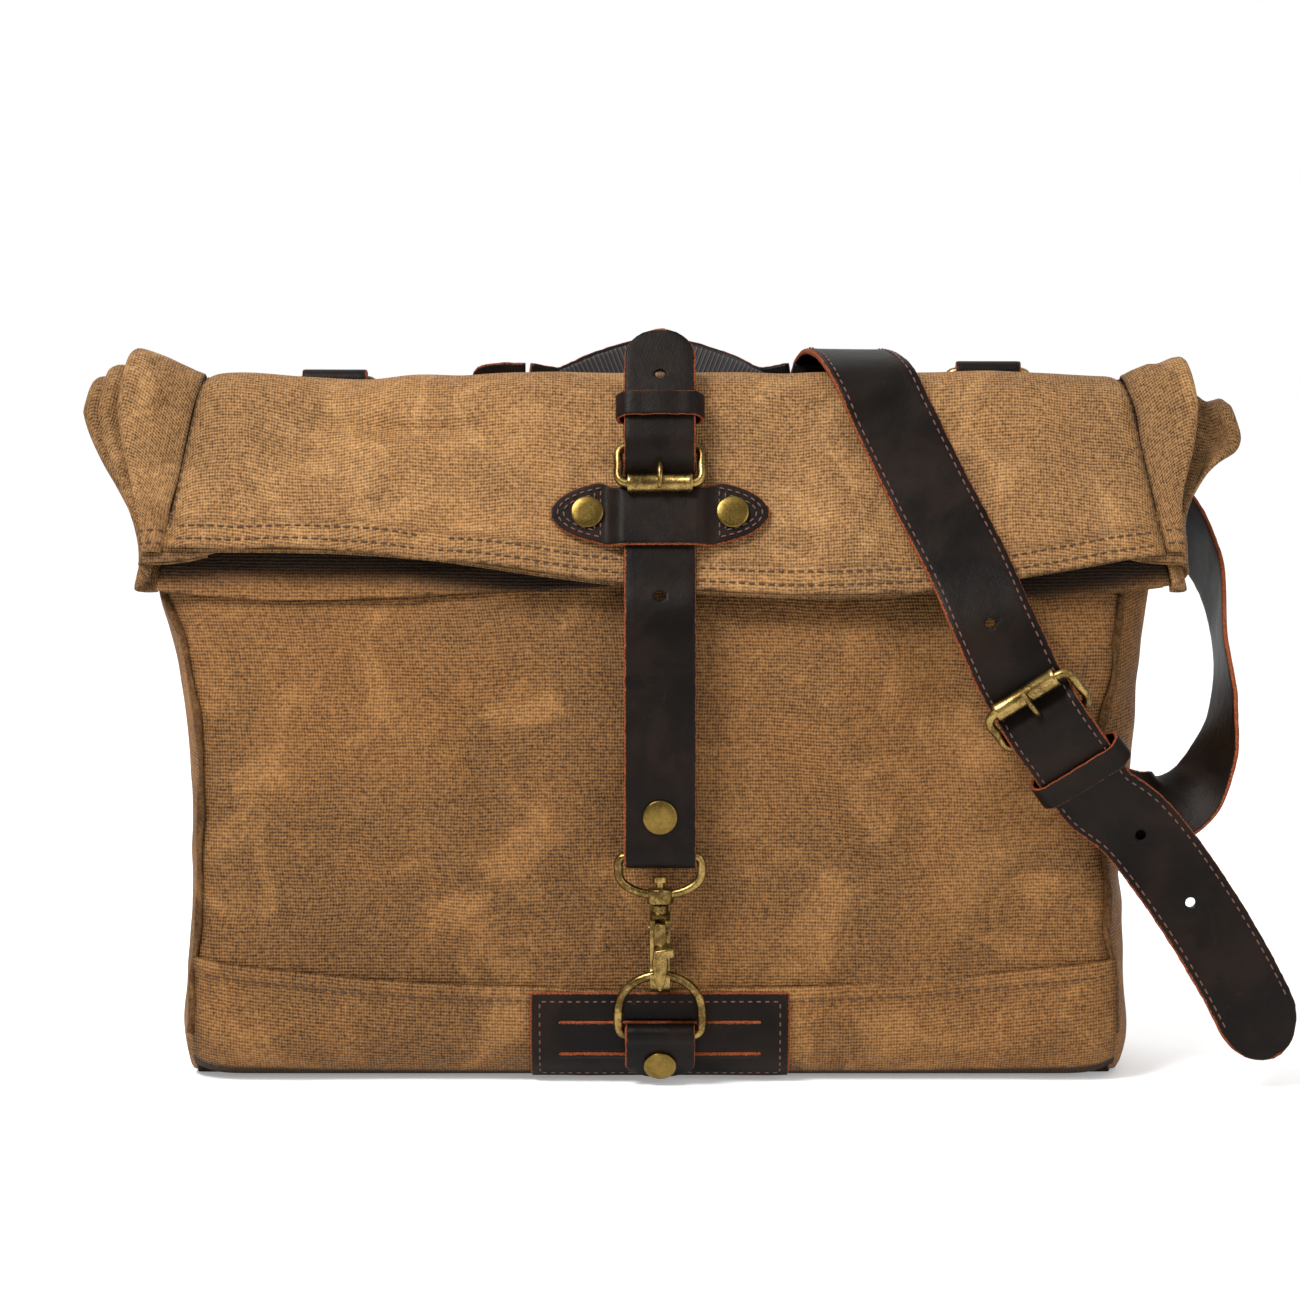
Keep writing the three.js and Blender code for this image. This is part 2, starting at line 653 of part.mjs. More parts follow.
// The lower closure strap: over the hem, down the front, round the eye's bar and up behind itself.
const eyeBar = vector(0, HOOK_Y, 95);
const EYE_TURN = WIRE + 0.35 + LEATHER / 2;
const aroundEye = (angle) => [
  eyeBar.clone().add(vector(0, Math.cos(degrees(angle)), Math.sin(degrees(angle))).multiplyScalar(EYE_TURN)),
  vector(0, Math.cos(degrees(angle)), Math.sin(degrees(angle))),
];
const lowerStrap = [
  [flapPoint(0, 66, flapFace + 1.7), flapOut],
  [flapPoint(0, 76, flapFace + 1.8), flapOut],
  [vector(0, -60.5, 192), vector(0, -1, 0.2)],
  [vector(0, -63.2, 172), vector(0, -1, 0.05)],
  [vector(0, eyeBar.y - EYE_TURN, 130), vector(0, -1, 0)],
  [vector(0, eyeBar.y - EYE_TURN, 104), vector(0, -1, 0)],
  ...[180, 225, 270, 315, 360].map(aroundEye),
  [vector(0, eyeBar.y + EYE_TURN - 0.3, 102), vector(0, 1, 0)],
  [vector(0, eyeBar.y - EYE_TURN + LEATHER + GAP, 112), vector(0, 1, 0)],
  [vector(0, eyeBar.y - EYE_TURN + LEATHER + GAP, 124), vector(0, 1, 0)],
];
const strapHoles = [200, 167, 134].map((z) =>
  new THREE.CylinderGeometry(2.2, 2.2, 14, 10).translate(0, z > 190 ? -58 : -64, z),
);
const lowerStrapWhole = strap(lowerStrap, () => CLOSURE_WIDTH, LEATHER, 44);
place("closure_strap_lower", cut(lowerStrapWhole, ...strapHoles), leatherFinish);
const strapRivetAt = vector(0, eyeBar.y - EYE_TURN - LEATHER / 2 - 0.4, 110);
placeRivet("closure_strap_rivet", strapRivetAt, vector(0, -1, 0), 0.3);

// ---------- swivel trigger snap ----------
const EYE_DROP = 15.5;
const eyeLoop = wireLoop(dRing(eyeBar, vector(0, 0, -1), EYE_DROP), WIRE - 0.1);
const COLLAR_Z = eyeBar.z - EYE_DROP - 0.5;
const collar = new THREE.BoxGeometry(10.5, 8, 6.4).translate(0, HOOK_Y, COLLAR_Z);
const pinHole = new THREE.CylinderGeometry(2, 2, 12, 16).rotateX(Math.PI / 2).translate(0, HOOK_Y, COLLAR_Z);
place("hook_eye", cut(join(eyeLoop, collar), pinHole), brassFinish);

// The hook: a swivel pin with a head, a neck, a spine at the back, and a nose that turns up in front.
const SPINE = 2; // half the spine's depth
const hookOut = 8.6; // from the swivel axis to the middle of the spine and of the nose
const hookLow = ringTop.z - WIRE - 0.8 - SPINE; // middle of the hook's lowest turn
const hookSide = 4; // half the hook's width
function hookPlate(points, depth) {
  const outline = new THREE.Shape(points.map(([y, z]) => new THREE.Vector2(y, z)));
  const plate = new THREE.ExtrudeGeometry(outline, { depth, bevelEnabled: false });
  plate.translate(0, 0, -depth / 2);
  return plate.applyMatrix4(new THREE.Matrix4().makeBasis(vector(0, 1, 0), vector(0, 0, 1), vector(1, 0, 0)));
}
const turnPoints = (radius, from, to, count) =>
  Array.from({ length: count }, (_, i) => {
    const angle = degrees(lerp(from, to, i / (count - 1)));
    return [HOOK_Y + radius * Math.cos(angle), hookLow + hookOut + radius * Math.sin(angle)];
  });
const neckZ = COLLAR_Z - 3.2 - 0.4;
const shoulderZ = neckZ - 3;
const noseTop = ringTop.z + 1.6;
const NOSE_TURN = -150; // where the hook's turn ends and the nose begins, in degrees
const hookProfile = [
  [HOOK_Y - 3.4, shoulderZ],
  [HOOK_Y - 7.4, shoulderZ - 2.6],
  [HOOK_Y - 8.2, shoulderZ - 6],
  [HOOK_Y - 6.5, shoulderZ - 9],
  [HOOK_Y - 2, shoulderZ - 9],
  [HOOK_Y + 3, shoulderZ - 7.5],
  [HOOK_Y + hookOut - SPINE, shoulderZ - 11],
  ...turnPoints(hookOut - SPINE, 0, NOSE_TURN, 9),
  [HOOK_Y - hookOut + SPINE + 0.3, noseTop],
  [HOOK_Y - hookOut - SPINE + 0.8, noseTop],
  ...turnPoints(hookOut + SPINE, NOSE_TURN, 0, 10),
  [HOOK_Y + hookOut + SPINE, shoulderZ - 7],
  [HOOK_Y + 3.4, shoulderZ],
];
const hookNeck = new THREE.CylinderGeometry(3.4, 3.4, 3.2, 16).rotateX(Math.PI / 2);
hookNeck.translate(0, HOOK_Y, neckZ - 1.6);
const pinLength = 12.4;
const hookPin = new THREE.CylinderGeometry(1.6, 1.6, pinLength, 16).rotateX(Math.PI / 2);
hookPin.translate(0, HOOK_Y, neckZ + pinLength / 2 - 1);
const pinHead = new THREE.CylinderGeometry(3, 3, 2.2, 16).rotateX(Math.PI / 2);
pinHead.translate(0, HOOK_Y, neckZ + pinLength - 2);
const leverPivot = vector(0, HOOK_Y - 4.6, shoulderZ - 5.4);
const leverRoom = new THREE.BoxGeometry(4.2, 12, 14).translate(0, HOOK_Y - 7.6, leverPivot.z - 3.2);
const pivotPin = new THREE.CylinderGeometry(1, 1, 2 * hookSide + 1.4, 10).rotateZ(Math.PI / 2);
pivotPin.translate(...leverPivot.toArray());
const hookSolid = solid(hookPlate(hookProfile, 2 * hookSide)).subtract(solid(leverRoom));
const hookPins = [hookNeck, hookPin, pinHead, pivotPin];
const wholeHook = hookPins.reduce((sum, piece) => sum.add(solid(piece)), hookSolid);
place("hook_body", fromSolid(wholeHook), brassFinish);

// The thumb lever closes the hook in front, from the pivot down to the nose.
const leverPlate = hookPlate(
  [
    [leverPivot.y - 1.9, leverPivot.z + 1.6],
    [leverPivot.y + 1.4, leverPivot.z + 1.6],
    [leverPivot.y + 1.4, leverPivot.z - 5],
    [HOOK_Y - hookOut + SPINE - 0.2, noseTop + 2.4],
    [HOOK_Y - hookOut - SPINE + 1.2, noseTop + 1.2],
    [HOOK_Y - hookOut - SPINE + 0.4, leverPivot.z - 9],
    [HOOK_Y - hookOut - SPINE - 3, leverPivot.z - 8.6],
    [HOOK_Y - hookOut - SPINE - 3, leverPivot.z - 6.2],
    [HOOK_Y - hookOut - SPINE + 0.6, leverPivot.z - 4.4],
  ],
  3.4,
);
const leverBore = new THREE.CylinderGeometry(1.3, 1.3, 8, 12).rotateZ(Math.PI / 2);
leverBore.translate(...leverPivot.toArray());
place("hook_lever", cut(leverPlate, leverBore), brassFinish);

// ---------- handle ----------
const HANDLE_WIDTH = 30;
const ANCHOR_IN = 55;
const ANCHOR_OUT = 78;
const handleY = 25;
const handleZ = 270;
const backOut = vector(0, 1, 0);
for (const [sideName, side] of mirrored) {
  const anchorStations = [
    [vector(side * ANCHOR_OUT, handleY - 0.4, handleZ), backOut],
    [vector(side * (ANCHOR_IN + 11), handleY, handleZ), backOut],
    [vector(side * (ANCHOR_IN + GAP), handleY + 0.6, handleZ), backOut],
  ];
  const width = (b) => HANDLE_WIDTH * Math.max(0.5, Math.sqrt(1 - Math.max(0, (0.25 - b) / 0.25) ** 2));
  place(`handle_end_${sideName}`, strap(anchorStations, width, LEATHER, 10), leatherFinish);
  placeRivet(
    `handle_rivet_${sideName}`,
    vector(side * (ANCHOR_IN + 11), handleY + LEATHER / 2 + 0.5, handleZ - 5),
    backOut,
    0.3,
  );
}
const gripHalf = [
  [ANCHOR_IN - 2, handleY + 0.8, handleZ, 0],
  [38, handleY + 6.5, handleZ + 1.5, -0.1],
  [20, handleY + 14, handleZ + 9, -0.25],
];
const gripStations = [
  ...gripHalf.map(([x, y, z, tilt]) => [vector(-x, y, z), vector(-0.2, 1, tilt)]),
  [vector(0, handleY + 17, handleZ + 14), vector(0, 1, -0.3)],
  ...gripHalf.map(([x, y, z, tilt]) => [vector(x, y, z), vector(0.2, 1, tilt)]).reverse(),
];
place("handle_strap", strap(gripStations, () => HANDLE_WIDTH, LEATHER, 24), leatherFinish);
const WEBBING = 1.4;
const WEBBING_DROP = LEATHER / 2 + WEBBING / 2 + 1;
const liningStations = gripStations.slice(1, -1).map(([point, normal]) => [
  point.clone().addScaledVector(normal.clone().normalize(), -WEBBING_DROP),
  normal,
]);
place("handle_webbing", strap(liningStations, () => HANDLE_WIDTH - 5, WEBBING, 18), webbingFinish);

// ---------- D-rings for the shoulder strap ----------
const RING_X = { left: -135, right: 136.5 };
const RING_Z = { left: 281, right: 284.5 };
const RING_Y = 30.2;
const RING_DROP = 24;
const hangLean = degrees(30);
const ringHang = vector(0, Math.sin(hangLean), -Math.cos(hangLean));

for (const [sideName] of mirrored) {
  const bar = vector(RING_X[sideName], RING_Y, RING_Z[sideName]);
  const turn = WIRE + 0.35 + 1.1;
  const around = [180, 135, 90, 45, 0].map((angle) => {
    const out = vector(0, Math.cos(degrees(angle)), Math.sin(degrees(angle)));
    return [bar.clone().addScaledVector(out, turn), out];
  });
  const front = [
    [vector(bar.x, bar.y - turn, 257), vector(0, -1, 0)],
    [vector(bar.x, bar.y - turn, 271), vector(0, -1, 0)],
  ];
  const rear = [
    [vector(bar.x, bar.y + 1.6, bar.z - 11), backOut],
    [vector(bar.x, bar.y - turn + 2.7, bar.z - 22), backOut],
    [vector(bar.x, bar.y - turn + 2.7, 254), backOut],
  ];
  place(`ring_tab_${sideName}`, strap([...front, ...around, ...rear], () => 27, 2.2, 30), leatherFinish);
  place(`ring_${sideName}`, wireLoop(dRing(bar, ringHang, RING_DROP, 0.55), WIRE), brassFinish);
  placeRivet(`ring_rivet_${sideName}`, vector(bar.x, bar.y - turn + 5.5, 258.5), backOut, 0.3);
  place(
    `ring_patch_${sideName}`,
    sheet(4, 8, 1.6, (u, v) => {
      const z = lerp(226, 281, v);
      const y = z < 240 ? wallY(backWall, z) + 2.1 : lerp(wallY(backWall, 240) + 2.1, 21, (z - 240) / 41);
      return vector(bar.x + (u - 0.5) * lerp(56, 42, v), y, z);
    }),
    leatherFinish,
  );
}

// ---------- shoulder strap ----------
const shoulderSlant = degrees(34.7); // the buckle's slant across the front, off vertical
const shoulderTilt = degrees(18); // how far its face looks down
const shoulderAlong = vector(
  Math.sin(shoulderSlant),
  Math.cos(shoulderSlant) * Math.sin(shoulderTilt),
  -Math.cos(shoulderSlant) * Math.cos(shoulderTilt),
);
const shoulderUp = vector(0, -Math.cos(shoulderTilt), -Math.sin(shoulderTilt));
const BUCKLE_AT = vector(149, -64.5, 157);
const shoulderFrame = frameAt(BUCKLE_AT, shoulderAlong, shoulderUp);
const shoulderBuckle = { inner: SHOULDER_WIDTH + 1, reach: 9, rollerUp: 8.5, heelUp: 5.8, rollerLength: 28 };
const shoulderCuts = rollerBuckle("shoulder", shoulderFrame, shoulderBuckle);
const out = vector(0, 0, 1);

const onFlap = (x, s, o) => [flapPoint(x, s, flapFace + o), flapOut];
const shoulderFront = [
  onFlap(92.5, 5, 2.2),
  onFlap(100, 22, 2),
  onFlap(109, 42, 2.1),
  onFlap(122, 70, 3.5),
  [vector(132.5, -69, 186), vector(0, -1, 0.35)],
  ...intoBag(
    [
      ...overHeel(shoulderBuckle.reach, 0.15),
      [vector(0, 32, 12), out],
      [vector(0, 44, 11.5), out],
    ],
    shoulderFrame,
  ),
  [vector(188, -62, 108), vector(0, -1, -0.2)],
  [vector(207, -63, 84), vector(0, -1, 0)],
  [vector(229, -63, 49), vector(0.1, -1, 0)],
  [vector(247, -59, 14), vector(0.2, -1, 0)],
];
const shoulderPunch = [[128, 196], [191, 104], [211, 77]].map(([x, z]) =>
  new THREE.CylinderGeometry(2.2, 2.2, 30, 10).translate(x, -64, z),
);
place(
  "shoulder_strap_front",
  cut(strap(shoulderFront, roundEnd(SHOULDER_WIDTH, 0.06), 2.8, 52), shoulderCuts.tongueRoom, ...shoulderPunch),
  leatherFinish,
);
place(
  "shoulder_keeper",
  keeper(SHOULDER_WIDTH + 2, 12, 9, 1.6, shoulderFrame, vector(0, 31, 8.3)),
  leatherFinish,
);

// Behind the bag the long piece hangs from the left ring in one wide loop and comes up to the top.
const leftArc = vector(RING_X.left, RING_Y, RING_Z.left).addScaledVector(ringHang, RING_DROP);
const loopTurn = WIRE + 1.7 + 1.4;
const loopRound = (centre, angles) =>
  angles.map((angle) => {
    const way = vector(0, Math.cos(degrees(angle)), Math.sin(degrees(angle)));
    return [centre.clone().addScaledVector(way, loopTurn), way];
  });
const LOOP_RADIUS = 104;
const loopMiddle = vector((RING_X.left + 75) / 2, 0, 142);
const loopStations = [-165, -140, -115, -90, -65, -40, -15].map((angle) => {
  const way = vector(Math.cos(degrees(angle)), 0, Math.sin(degrees(angle)));
  const turned = Math.sin(degrees(-angle)) ** 2;
  const point = loopMiddle.clone().addScaledVector(way, LOOP_RADIUS);
  return [point.setY(lerp(56, 68, turned)), vector(way.x * turned, 1.02 - turned, way.z * turned)];
});
const shoulderRear = [
  [vector(leftArc.x, leftArc.y - 0.8, leftArc.z - 34), vector(0, -1, 0)],
  [vector(leftArc.x, leftArc.y - loopTurn + 0.4, leftArc.z - 14), vector(0, -1, 0)],
  ...loopRound(leftArc, [180, 135, 90, 45, 0]),
  [vector(leftArc.x, leftArc.y + 4.2, leftArc.z - 16), backOut],
  [vector(leftArc.x, leftArc.y + 8, leftArc.z - 50), backOut],
  ...loopStations,
  [vector(73, 55, 190), backOut],
  [vector(70.5, 48.5, 232), vector(0, 1, 0.15)],
  [vector(70, 40, 262), vector(0, 1, 0.25)],
];
const rearWidth = (b) => lerp(24, SHOULDER_WIDTH, THREE.MathUtils.smoothstep(b, 0.38, 0.5));
place("shoulder_strap_rear", strap(shoulderRear, rearWidth, 2.8, 60), leatherFinish);

const shoulderOver = [
  [vector(70, 39, 263.6), vector(0, 1, 0.25)],
  [vector(70.6, 34, 280), vector(0, 0.9, 0.5)],
  [vector(74, 20, 291.5), vector(0, 0.3, 1)],
  [vector(79, 3, 292.5), vector(0, -0.1, 1)],
  [vector(83, -14, 289), vector(0, -0.5, 1)],
  [vector(88, -24.5, 281), vector(0, -0.8, 0.6)],
  onFlap(91.8, 3, 2.3),
];
place("shoulder_strap_over_top", strap(shoulderOver, () => SHOULDER_WIDTH, 2.8, 26), leatherFinish);

// The short piece: from the right ring, down behind the side, round in front and back under the tail.
const rightArc = vector(RING_X.right, RING_Y, RING_Z.right).addScaledVector(ringHang, RING_DROP);
const buckleEndUnder = [[16, 3.3], [26, 4.8], [38, 5], [46, 4.4]];
const buckleEnd = chapeStations(shoulderBuckle.reach, shoulderBuckle.heelUp, 28, buckleEndUnder);
const shoulderShort = [
  ...intoBag(buckleEnd, shoulderFrame),
  [vector(191, -54, 113), vector(0.1, 1, 0)],
  [vector(207, -50, 115), vector(0.3, 1, -0.6)],
  [vector(220, -42, 129), vector(0.7, 0.5, -0.8)],
  [vector(227, -34, 152), vector(1, 0.1, -0.4)],
  [vector(227, -24, 176), vector(1, 0, 0)],
  [vector(226, 0, 203), vector(1, 0.4, 0.2)],
  [vector(212, 34, 227), vector(0.8, 1, 0.3)],
  [vector(176, 58, 243), vector(0.2, 1, 0.2)],
  [vector(146, 55, 250), vector(0, 1, 0.2)],
  ...loopRound(rightArc, [0, 45, 90, 135, 180]).map(([p, n], i) => [p.add(vector([2, 1, 0, 0, 0][i], 0, 0)), n]),
  [vector(rightArc.x, rightArc.y - loopTurn + 0.4, rightArc.z - 14), vector(0, -1, 0)],
  [vector(rightArc.x, rightArc.y - 2, rightArc.z - 28), vector(0, -1, 0)],
];
const shortWidth = (b) => lerp(SHOULDER_WIDTH - 2, 24, THREE.MathUtils.smoothstep(b, 0.62, 0.74));
place(
  "shoulder_strap_short",
  cut(strap(shoulderShort, shortWidth, 2, 60), shoulderCuts.knuckleRoom, shoulderCuts.tongueRoom),
  leatherFinish,
);

// ---------- ring tab rivet ----------
const [tabRivetPoint, tabRivetNormal] = bootFront(26.5, GAP + 2 + GAP + 2 + GAP + 3);
placeRivet("ring_tab_rivet", tabRivetPoint, tabRivetNormal, 0.3);

export default group;
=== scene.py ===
"""A fold-over messenger bag of waxed canvas, leather straps and aged brass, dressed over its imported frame.

Sizes are millimetres until a mesh is made. +Z is up, the front of the bag faces -Y.
"""

import math

import bpy
import numpy as np
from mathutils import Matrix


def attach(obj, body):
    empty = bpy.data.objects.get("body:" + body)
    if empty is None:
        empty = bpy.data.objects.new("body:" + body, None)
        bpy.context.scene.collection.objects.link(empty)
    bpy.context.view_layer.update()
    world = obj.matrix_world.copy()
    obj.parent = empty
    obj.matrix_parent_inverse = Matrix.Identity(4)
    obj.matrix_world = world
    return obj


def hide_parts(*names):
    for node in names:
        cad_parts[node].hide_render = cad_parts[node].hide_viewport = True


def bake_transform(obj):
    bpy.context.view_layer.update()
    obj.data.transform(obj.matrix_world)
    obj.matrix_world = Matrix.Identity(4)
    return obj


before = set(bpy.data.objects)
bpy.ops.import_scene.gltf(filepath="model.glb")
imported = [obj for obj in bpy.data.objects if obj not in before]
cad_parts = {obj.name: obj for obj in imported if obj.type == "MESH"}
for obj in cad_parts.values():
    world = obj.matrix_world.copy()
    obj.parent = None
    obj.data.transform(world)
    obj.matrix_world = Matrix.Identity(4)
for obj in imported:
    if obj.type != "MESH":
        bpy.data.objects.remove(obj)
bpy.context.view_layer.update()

MM = 0.001


def vec(*values):
    return np.array(values, dtype=float)


def unit(v):
    v = np.asarray(v, dtype=float)
    return v / np.maximum(np.linalg.norm(v, axis=-1, keepdims=True), 1e-9)


def lerp(a, b, t):
    return a + (b - a) * t


def ease(x, low, high):
    """0 below low, 1 above high, smooth between."""
    t = np.clip((x - low) / (high - low), 0, 1)
    return t * t * (3 - 2 * t)


def ripple(x, y, size, seed):
    """Smooth random heights from -1 to 1, about size across."""
    cells = 64
    knots = np.random.default_rng(seed).uniform(-1, 1, (cells, cells))
    u = np.asarray(x, dtype=float) / size + 31.37
    v = np.asarray(y, dtype=float) / size + 17.61
    i, j = np.floor(u).astype(int), np.floor(v).astype(int)
    a, b = u - i, v - j
    a, b = a * a * (3 - 2 * a), b * b * (3 - 2 * b)
    i0, i1, j0, j1 = i % cells, (i + 1) % cells, j % cells, (j + 1) % cells
    near = lerp(knots[i0, j0], knots[i1, j0], a)
    far = lerp(knots[i0, j1], knots[i1, j1], a)
    return lerp(near, far, b)


# ---------- shaders ----------
class Sock:
    """A node socket that can be added, multiplied and so on."""

    def __init__(self, shader, socket):
        self.shader = shader
        self.socket = socket

    def _math(self, operation, other, swap=False):
        inputs = (other, self) if swap else (self, other)
        return self.shader.node("ShaderNodeMath", {"operation": operation}, inputs)

    def __add__(self, other):
        return self._math("ADD", other)

    def __mul__(self, other):
        return self._math("MULTIPLY", other)

    def __sub__(self, other):
        return self._math("SUBTRACT", other)

    def __rsub__(self, other):
        return self._math("SUBTRACT", other, swap=True)

    def __pow__(self, other):
        return self._math("POWER", other)

    __radd__ = __add__
    __rmul__ = __mul__


class Shader:
    """One material, built node by node."""

    def __init__(self, name, surface="Principled BSDF", world=None):
        self.material = world or bpy.data.materials.new(name)
        self.material.use_nodes = True
        self.tree = self.material.node_tree
        self.surface = self.tree.nodes[surface]

    def node(self, kind, settings=None, inputs=(), output=0):
        made = self.tree.nodes.new(kind)
        for key, value in (settings or {}).items():
            if key == "stops":
                for place, tone in value:
                    stop = made.color_ramp.elements.new(place)
                    stop.color = (*tone, 1)
                made.color_ramp.elements.remove(made.color_ramp.elements[0])
                made.color_ramp.elements.remove(made.color_ramp.elements[-1])
            else:
                setattr(made, key, value)
        pairs = inputs.items() if isinstance(inputs, dict) else enumerate(inputs)
        for key, value in pairs:
            if isinstance(value, Sock):
                self.tree.links.new(value.socket, made.inputs[key])
            elif value is not None:
                made.inputs[key].default_value = value
        return Sock(self, made.outputs[output])

    def noise(self, at, scale, detail=3.0, roughness=0.5, distortion=0.0):
        inputs = {"Vector": at, "Scale": scale, "Detail": detail, "Roughness": roughness,
                  "Distortion": distortion}
        return self.node("ShaderNodeTexNoise", {}, inputs)

    def between(self, value, low, high):
        """0 where value is below low, 1 above high."""
        inputs = {"Value": value, "From Min": low, "From Max": high}
        return self.node("ShaderNodeMapRange", {"interpolation_type": "SMOOTHSTEP"}, inputs)

    def mixed(self, share, first, second):
        inputs = {0: share, 6: first, 7: second}
        return self.node("ShaderNodeMix", {"data_type": "RGBA", "clamp_factor": True}, inputs, output=2)

    def set(self, name, value):
        if isinstance(value, Sock):
            self.tree.links.new(value.socket, self.surface.inputs[name])
        else:
            self.surface.inputs[name].default_value = value

    def bump(self, height, distance, under=None):
        inputs = {"Height": height, "Distance": distance, "Strength": 1.0}
        if under is not None:
            inputs["Normal"] = under
        return self.node("ShaderNodeBump", {}, inputs)


def tone(red, green, blue):
    """A colour given as it looks on a screen, from 0 to 255."""
    return tuple(((v / 255 + 0.055) / 1.055) ** 2.4 if v > 10 else v / 255 / 12.92
                 for v in (red, green, blue))


WARP = 1.15 * MM  # from one upright thread of the canvas to the next
WEFT = 1.4 * MM  # from one cross thread to the next


def canvas(name, dark, middle, light):
    """Waxed canvas: a coarse plain weave, wax blotches, paler rubbed patches, and painted shade from the
    'shade' attribute.
    """
    s = Shader(name)
    place = s.node("ShaderNodeTexCoord", output=3)
    cloth = s.node("ShaderNodeTexCoord", output=2)
    shaded = s.node("ShaderNodeAttribute", {"attribute_name": "shade"}, output=2)
    split = s.node("ShaderNodeSeparateXYZ", {}, [cloth])
    u = split
    v = Sock(s, split.socket.node.outputs[1])
    sway = s.noise(place, 170.0, 2.0) * 3.2
    across = s.node("ShaderNodeMath", {"operation": "SINE"}, [u * (2 * math.pi / WARP) + sway])
    along = s.node("ShaderNodeMath", {"operation": "SINE"}, [v * (2 * math.pi / WEFT) - sway])
    weave = across * 0.42 + along * 0.58
    slub = s.noise(place, 620.0, 2.0, 0.6)
    fleck = s.noise(place, 1150.0, 1.0, 0.5)
    blotch = s.noise(place, 17.0, 4.0, 0.62, 1.1)
    patch = s.noise(place, 6.5, 2.0, 0.5, 0.4)
    worn = s.noise(place, 26.0, 4.0, 0.6, 0.9)
    base = s.mixed(s.between(blotch * 0.65 + patch * 0.35, 0.4, 0.6), (*dark, 1), (*middle, 1))
    base = s.mixed(s.between(worn, 0.5, 0.68) * 0.5, base, (*light, 1))
    # Thread-scale colour: random slubs and flecks of the cloth, plus the weave, which paints its thread
    # crossings lighter and the gaps darker as painted light and shade.
    lit = s.between(weave * 0.2 + slub * 0.62 + fleck * 0.48, 0.22, 0.86)
    deep = s.mixed(0.68, base, (*tone(30, 17, 6), 1))
    thread = s.mixed(0.45, base, (*light, 1))
    base = s.mixed(lit, deep, thread)
    # Painted shade: the 'shade' attribute mixes the cloth towards near black in seams, recesses and under the
    # flap.
    s.set("Base Color", s.mixed(shaded, base, (*tone(24, 15, 8), 1)))
    s.set("Roughness", s.between(blotch, 0.2, 0.9) * 0.16 + 0.62)
    s.set("Specular IOR Level", 0.16)
    body = s.bump(s.noise(place, 42.0, 4.0, 0.6, 0.4), 3.0 * MM)
    s.set("Normal", s.bump(weave * 0.5 + slub * 1.0, 0.32 * MM, body))
    return s.material


def leather(name):
    """Dark waxy leather: smooth and greyed on its face, orange and furred at its cut edges."""
    s = Shader(name)
    place = s.node("ShaderNodeTexCoord", output=3)
    edge = s.node("ShaderNodeAttribute", {"attribute_name": "raw_edge"}, output=2)
    cloud = s.noise(place, 32.0, 5.0, 0.62, 0.6)
    scuff = s.noise(place, 210.0, 4.0, 0.7, 1.2)
    grain = s.node("ShaderNodeTexVoronoi", {"feature": "F1"}, {"Vector": place, "Scale": 1500.0})
    fur = s.noise(place, 1600.0, 3.0, 0.7)
    face = s.mixed(s.between(cloud, 0.35, 0.72), (*tone(11, 7, 5), 1), (*tone(28, 18, 12), 1))
    face = s.mixed(s.between(scuff, 0.62, 0.8) * 0.22, face, (*tone(78, 56, 42), 1))
    raw = s.mixed(s.between(fur, 0.3, 0.7), (*tone(84, 36, 18), 1), (*tone(148, 78, 44), 1))
    s.set("Base Color", s.mixed(s.between(edge + (fur - 0.5) * 0.8, 0.36, 0.66), face, raw))
    s.set("Roughness", s.between(edge, 0.2, 0.6) * 0.35 + cloud * 0.3 + 0.3)
    s.set("Specular IOR Level", 0.1)
    under = s.bump(s.noise(place, 90.0, 4.0, 0.55), 0.4 * MM)
    s.set("Normal", s.bump(grain * 0.5 + scuff * 0.4 + edge * fur * 2.0, 0.1 * MM, under))
    return s.material


def brass(name, hollow, rubbed, pitting):
    """Aged brass: brown in the hollows, rubbed bright."""
    s = Shader(name)
    place = s.node("ShaderNodeTexCoord", output=3)
    cloud = s.noise(place, 120.0, 4.0, 0.6, 0.5)
    fleck = s.noise(place, 1300.0, 2.0, 0.6)
    aged = s.between(cloud * 0.7 + fleck * 0.3, 0.4, 0.62)
    s.set("Base Color", s.mixed(aged, (*hollow, 1), (*rubbed, 1)))
    s.set("Metallic", 1.0)
    s.set("Roughness", fleck * 0.22 + 0.2)
    s.set("Normal", s.bump(fleck, pitting))
    return s.material


def plain_cloth(name, dark, light, scale, gloss):
    s = Shader(name)
    place = s.node("ShaderNodeTexCoord", output=3)
    cloud = s.noise(place, scale, 4.0, 0.6)
    s.set("Base Color", s.mixed(cloud, (*dark, 1), (*light, 1)))
    s.set("Roughness", gloss)
    s.set("Normal", s.bump(s.noise(place, 1400.0, 2.0), 0.2 * MM))
    return s.material


def webbing(name):
    """Dark ribbed webbing: ribs across its length, by its own UV."""
    s = Shader(name)
    cloth = s.node("ShaderNodeTexCoord", output=2)
    split = s.node("ShaderNodeSeparateXYZ", {}, [cloth], output=1)
    rib = s.node("ShaderNodeMath", {"operation": "SINE"}, [split * (2 * math.pi / (1.9 * MM))])
    s.set("Base Color", s.mixed(s.between(rib, -0.6, 0.9), (*tone(14, 11, 12), 1), (*tone(58, 50, 48), 1)))
    s.set("Roughness", 0.6)
    s.set("Normal", s.bump(rib, 0.3 * MM))
    return s.material
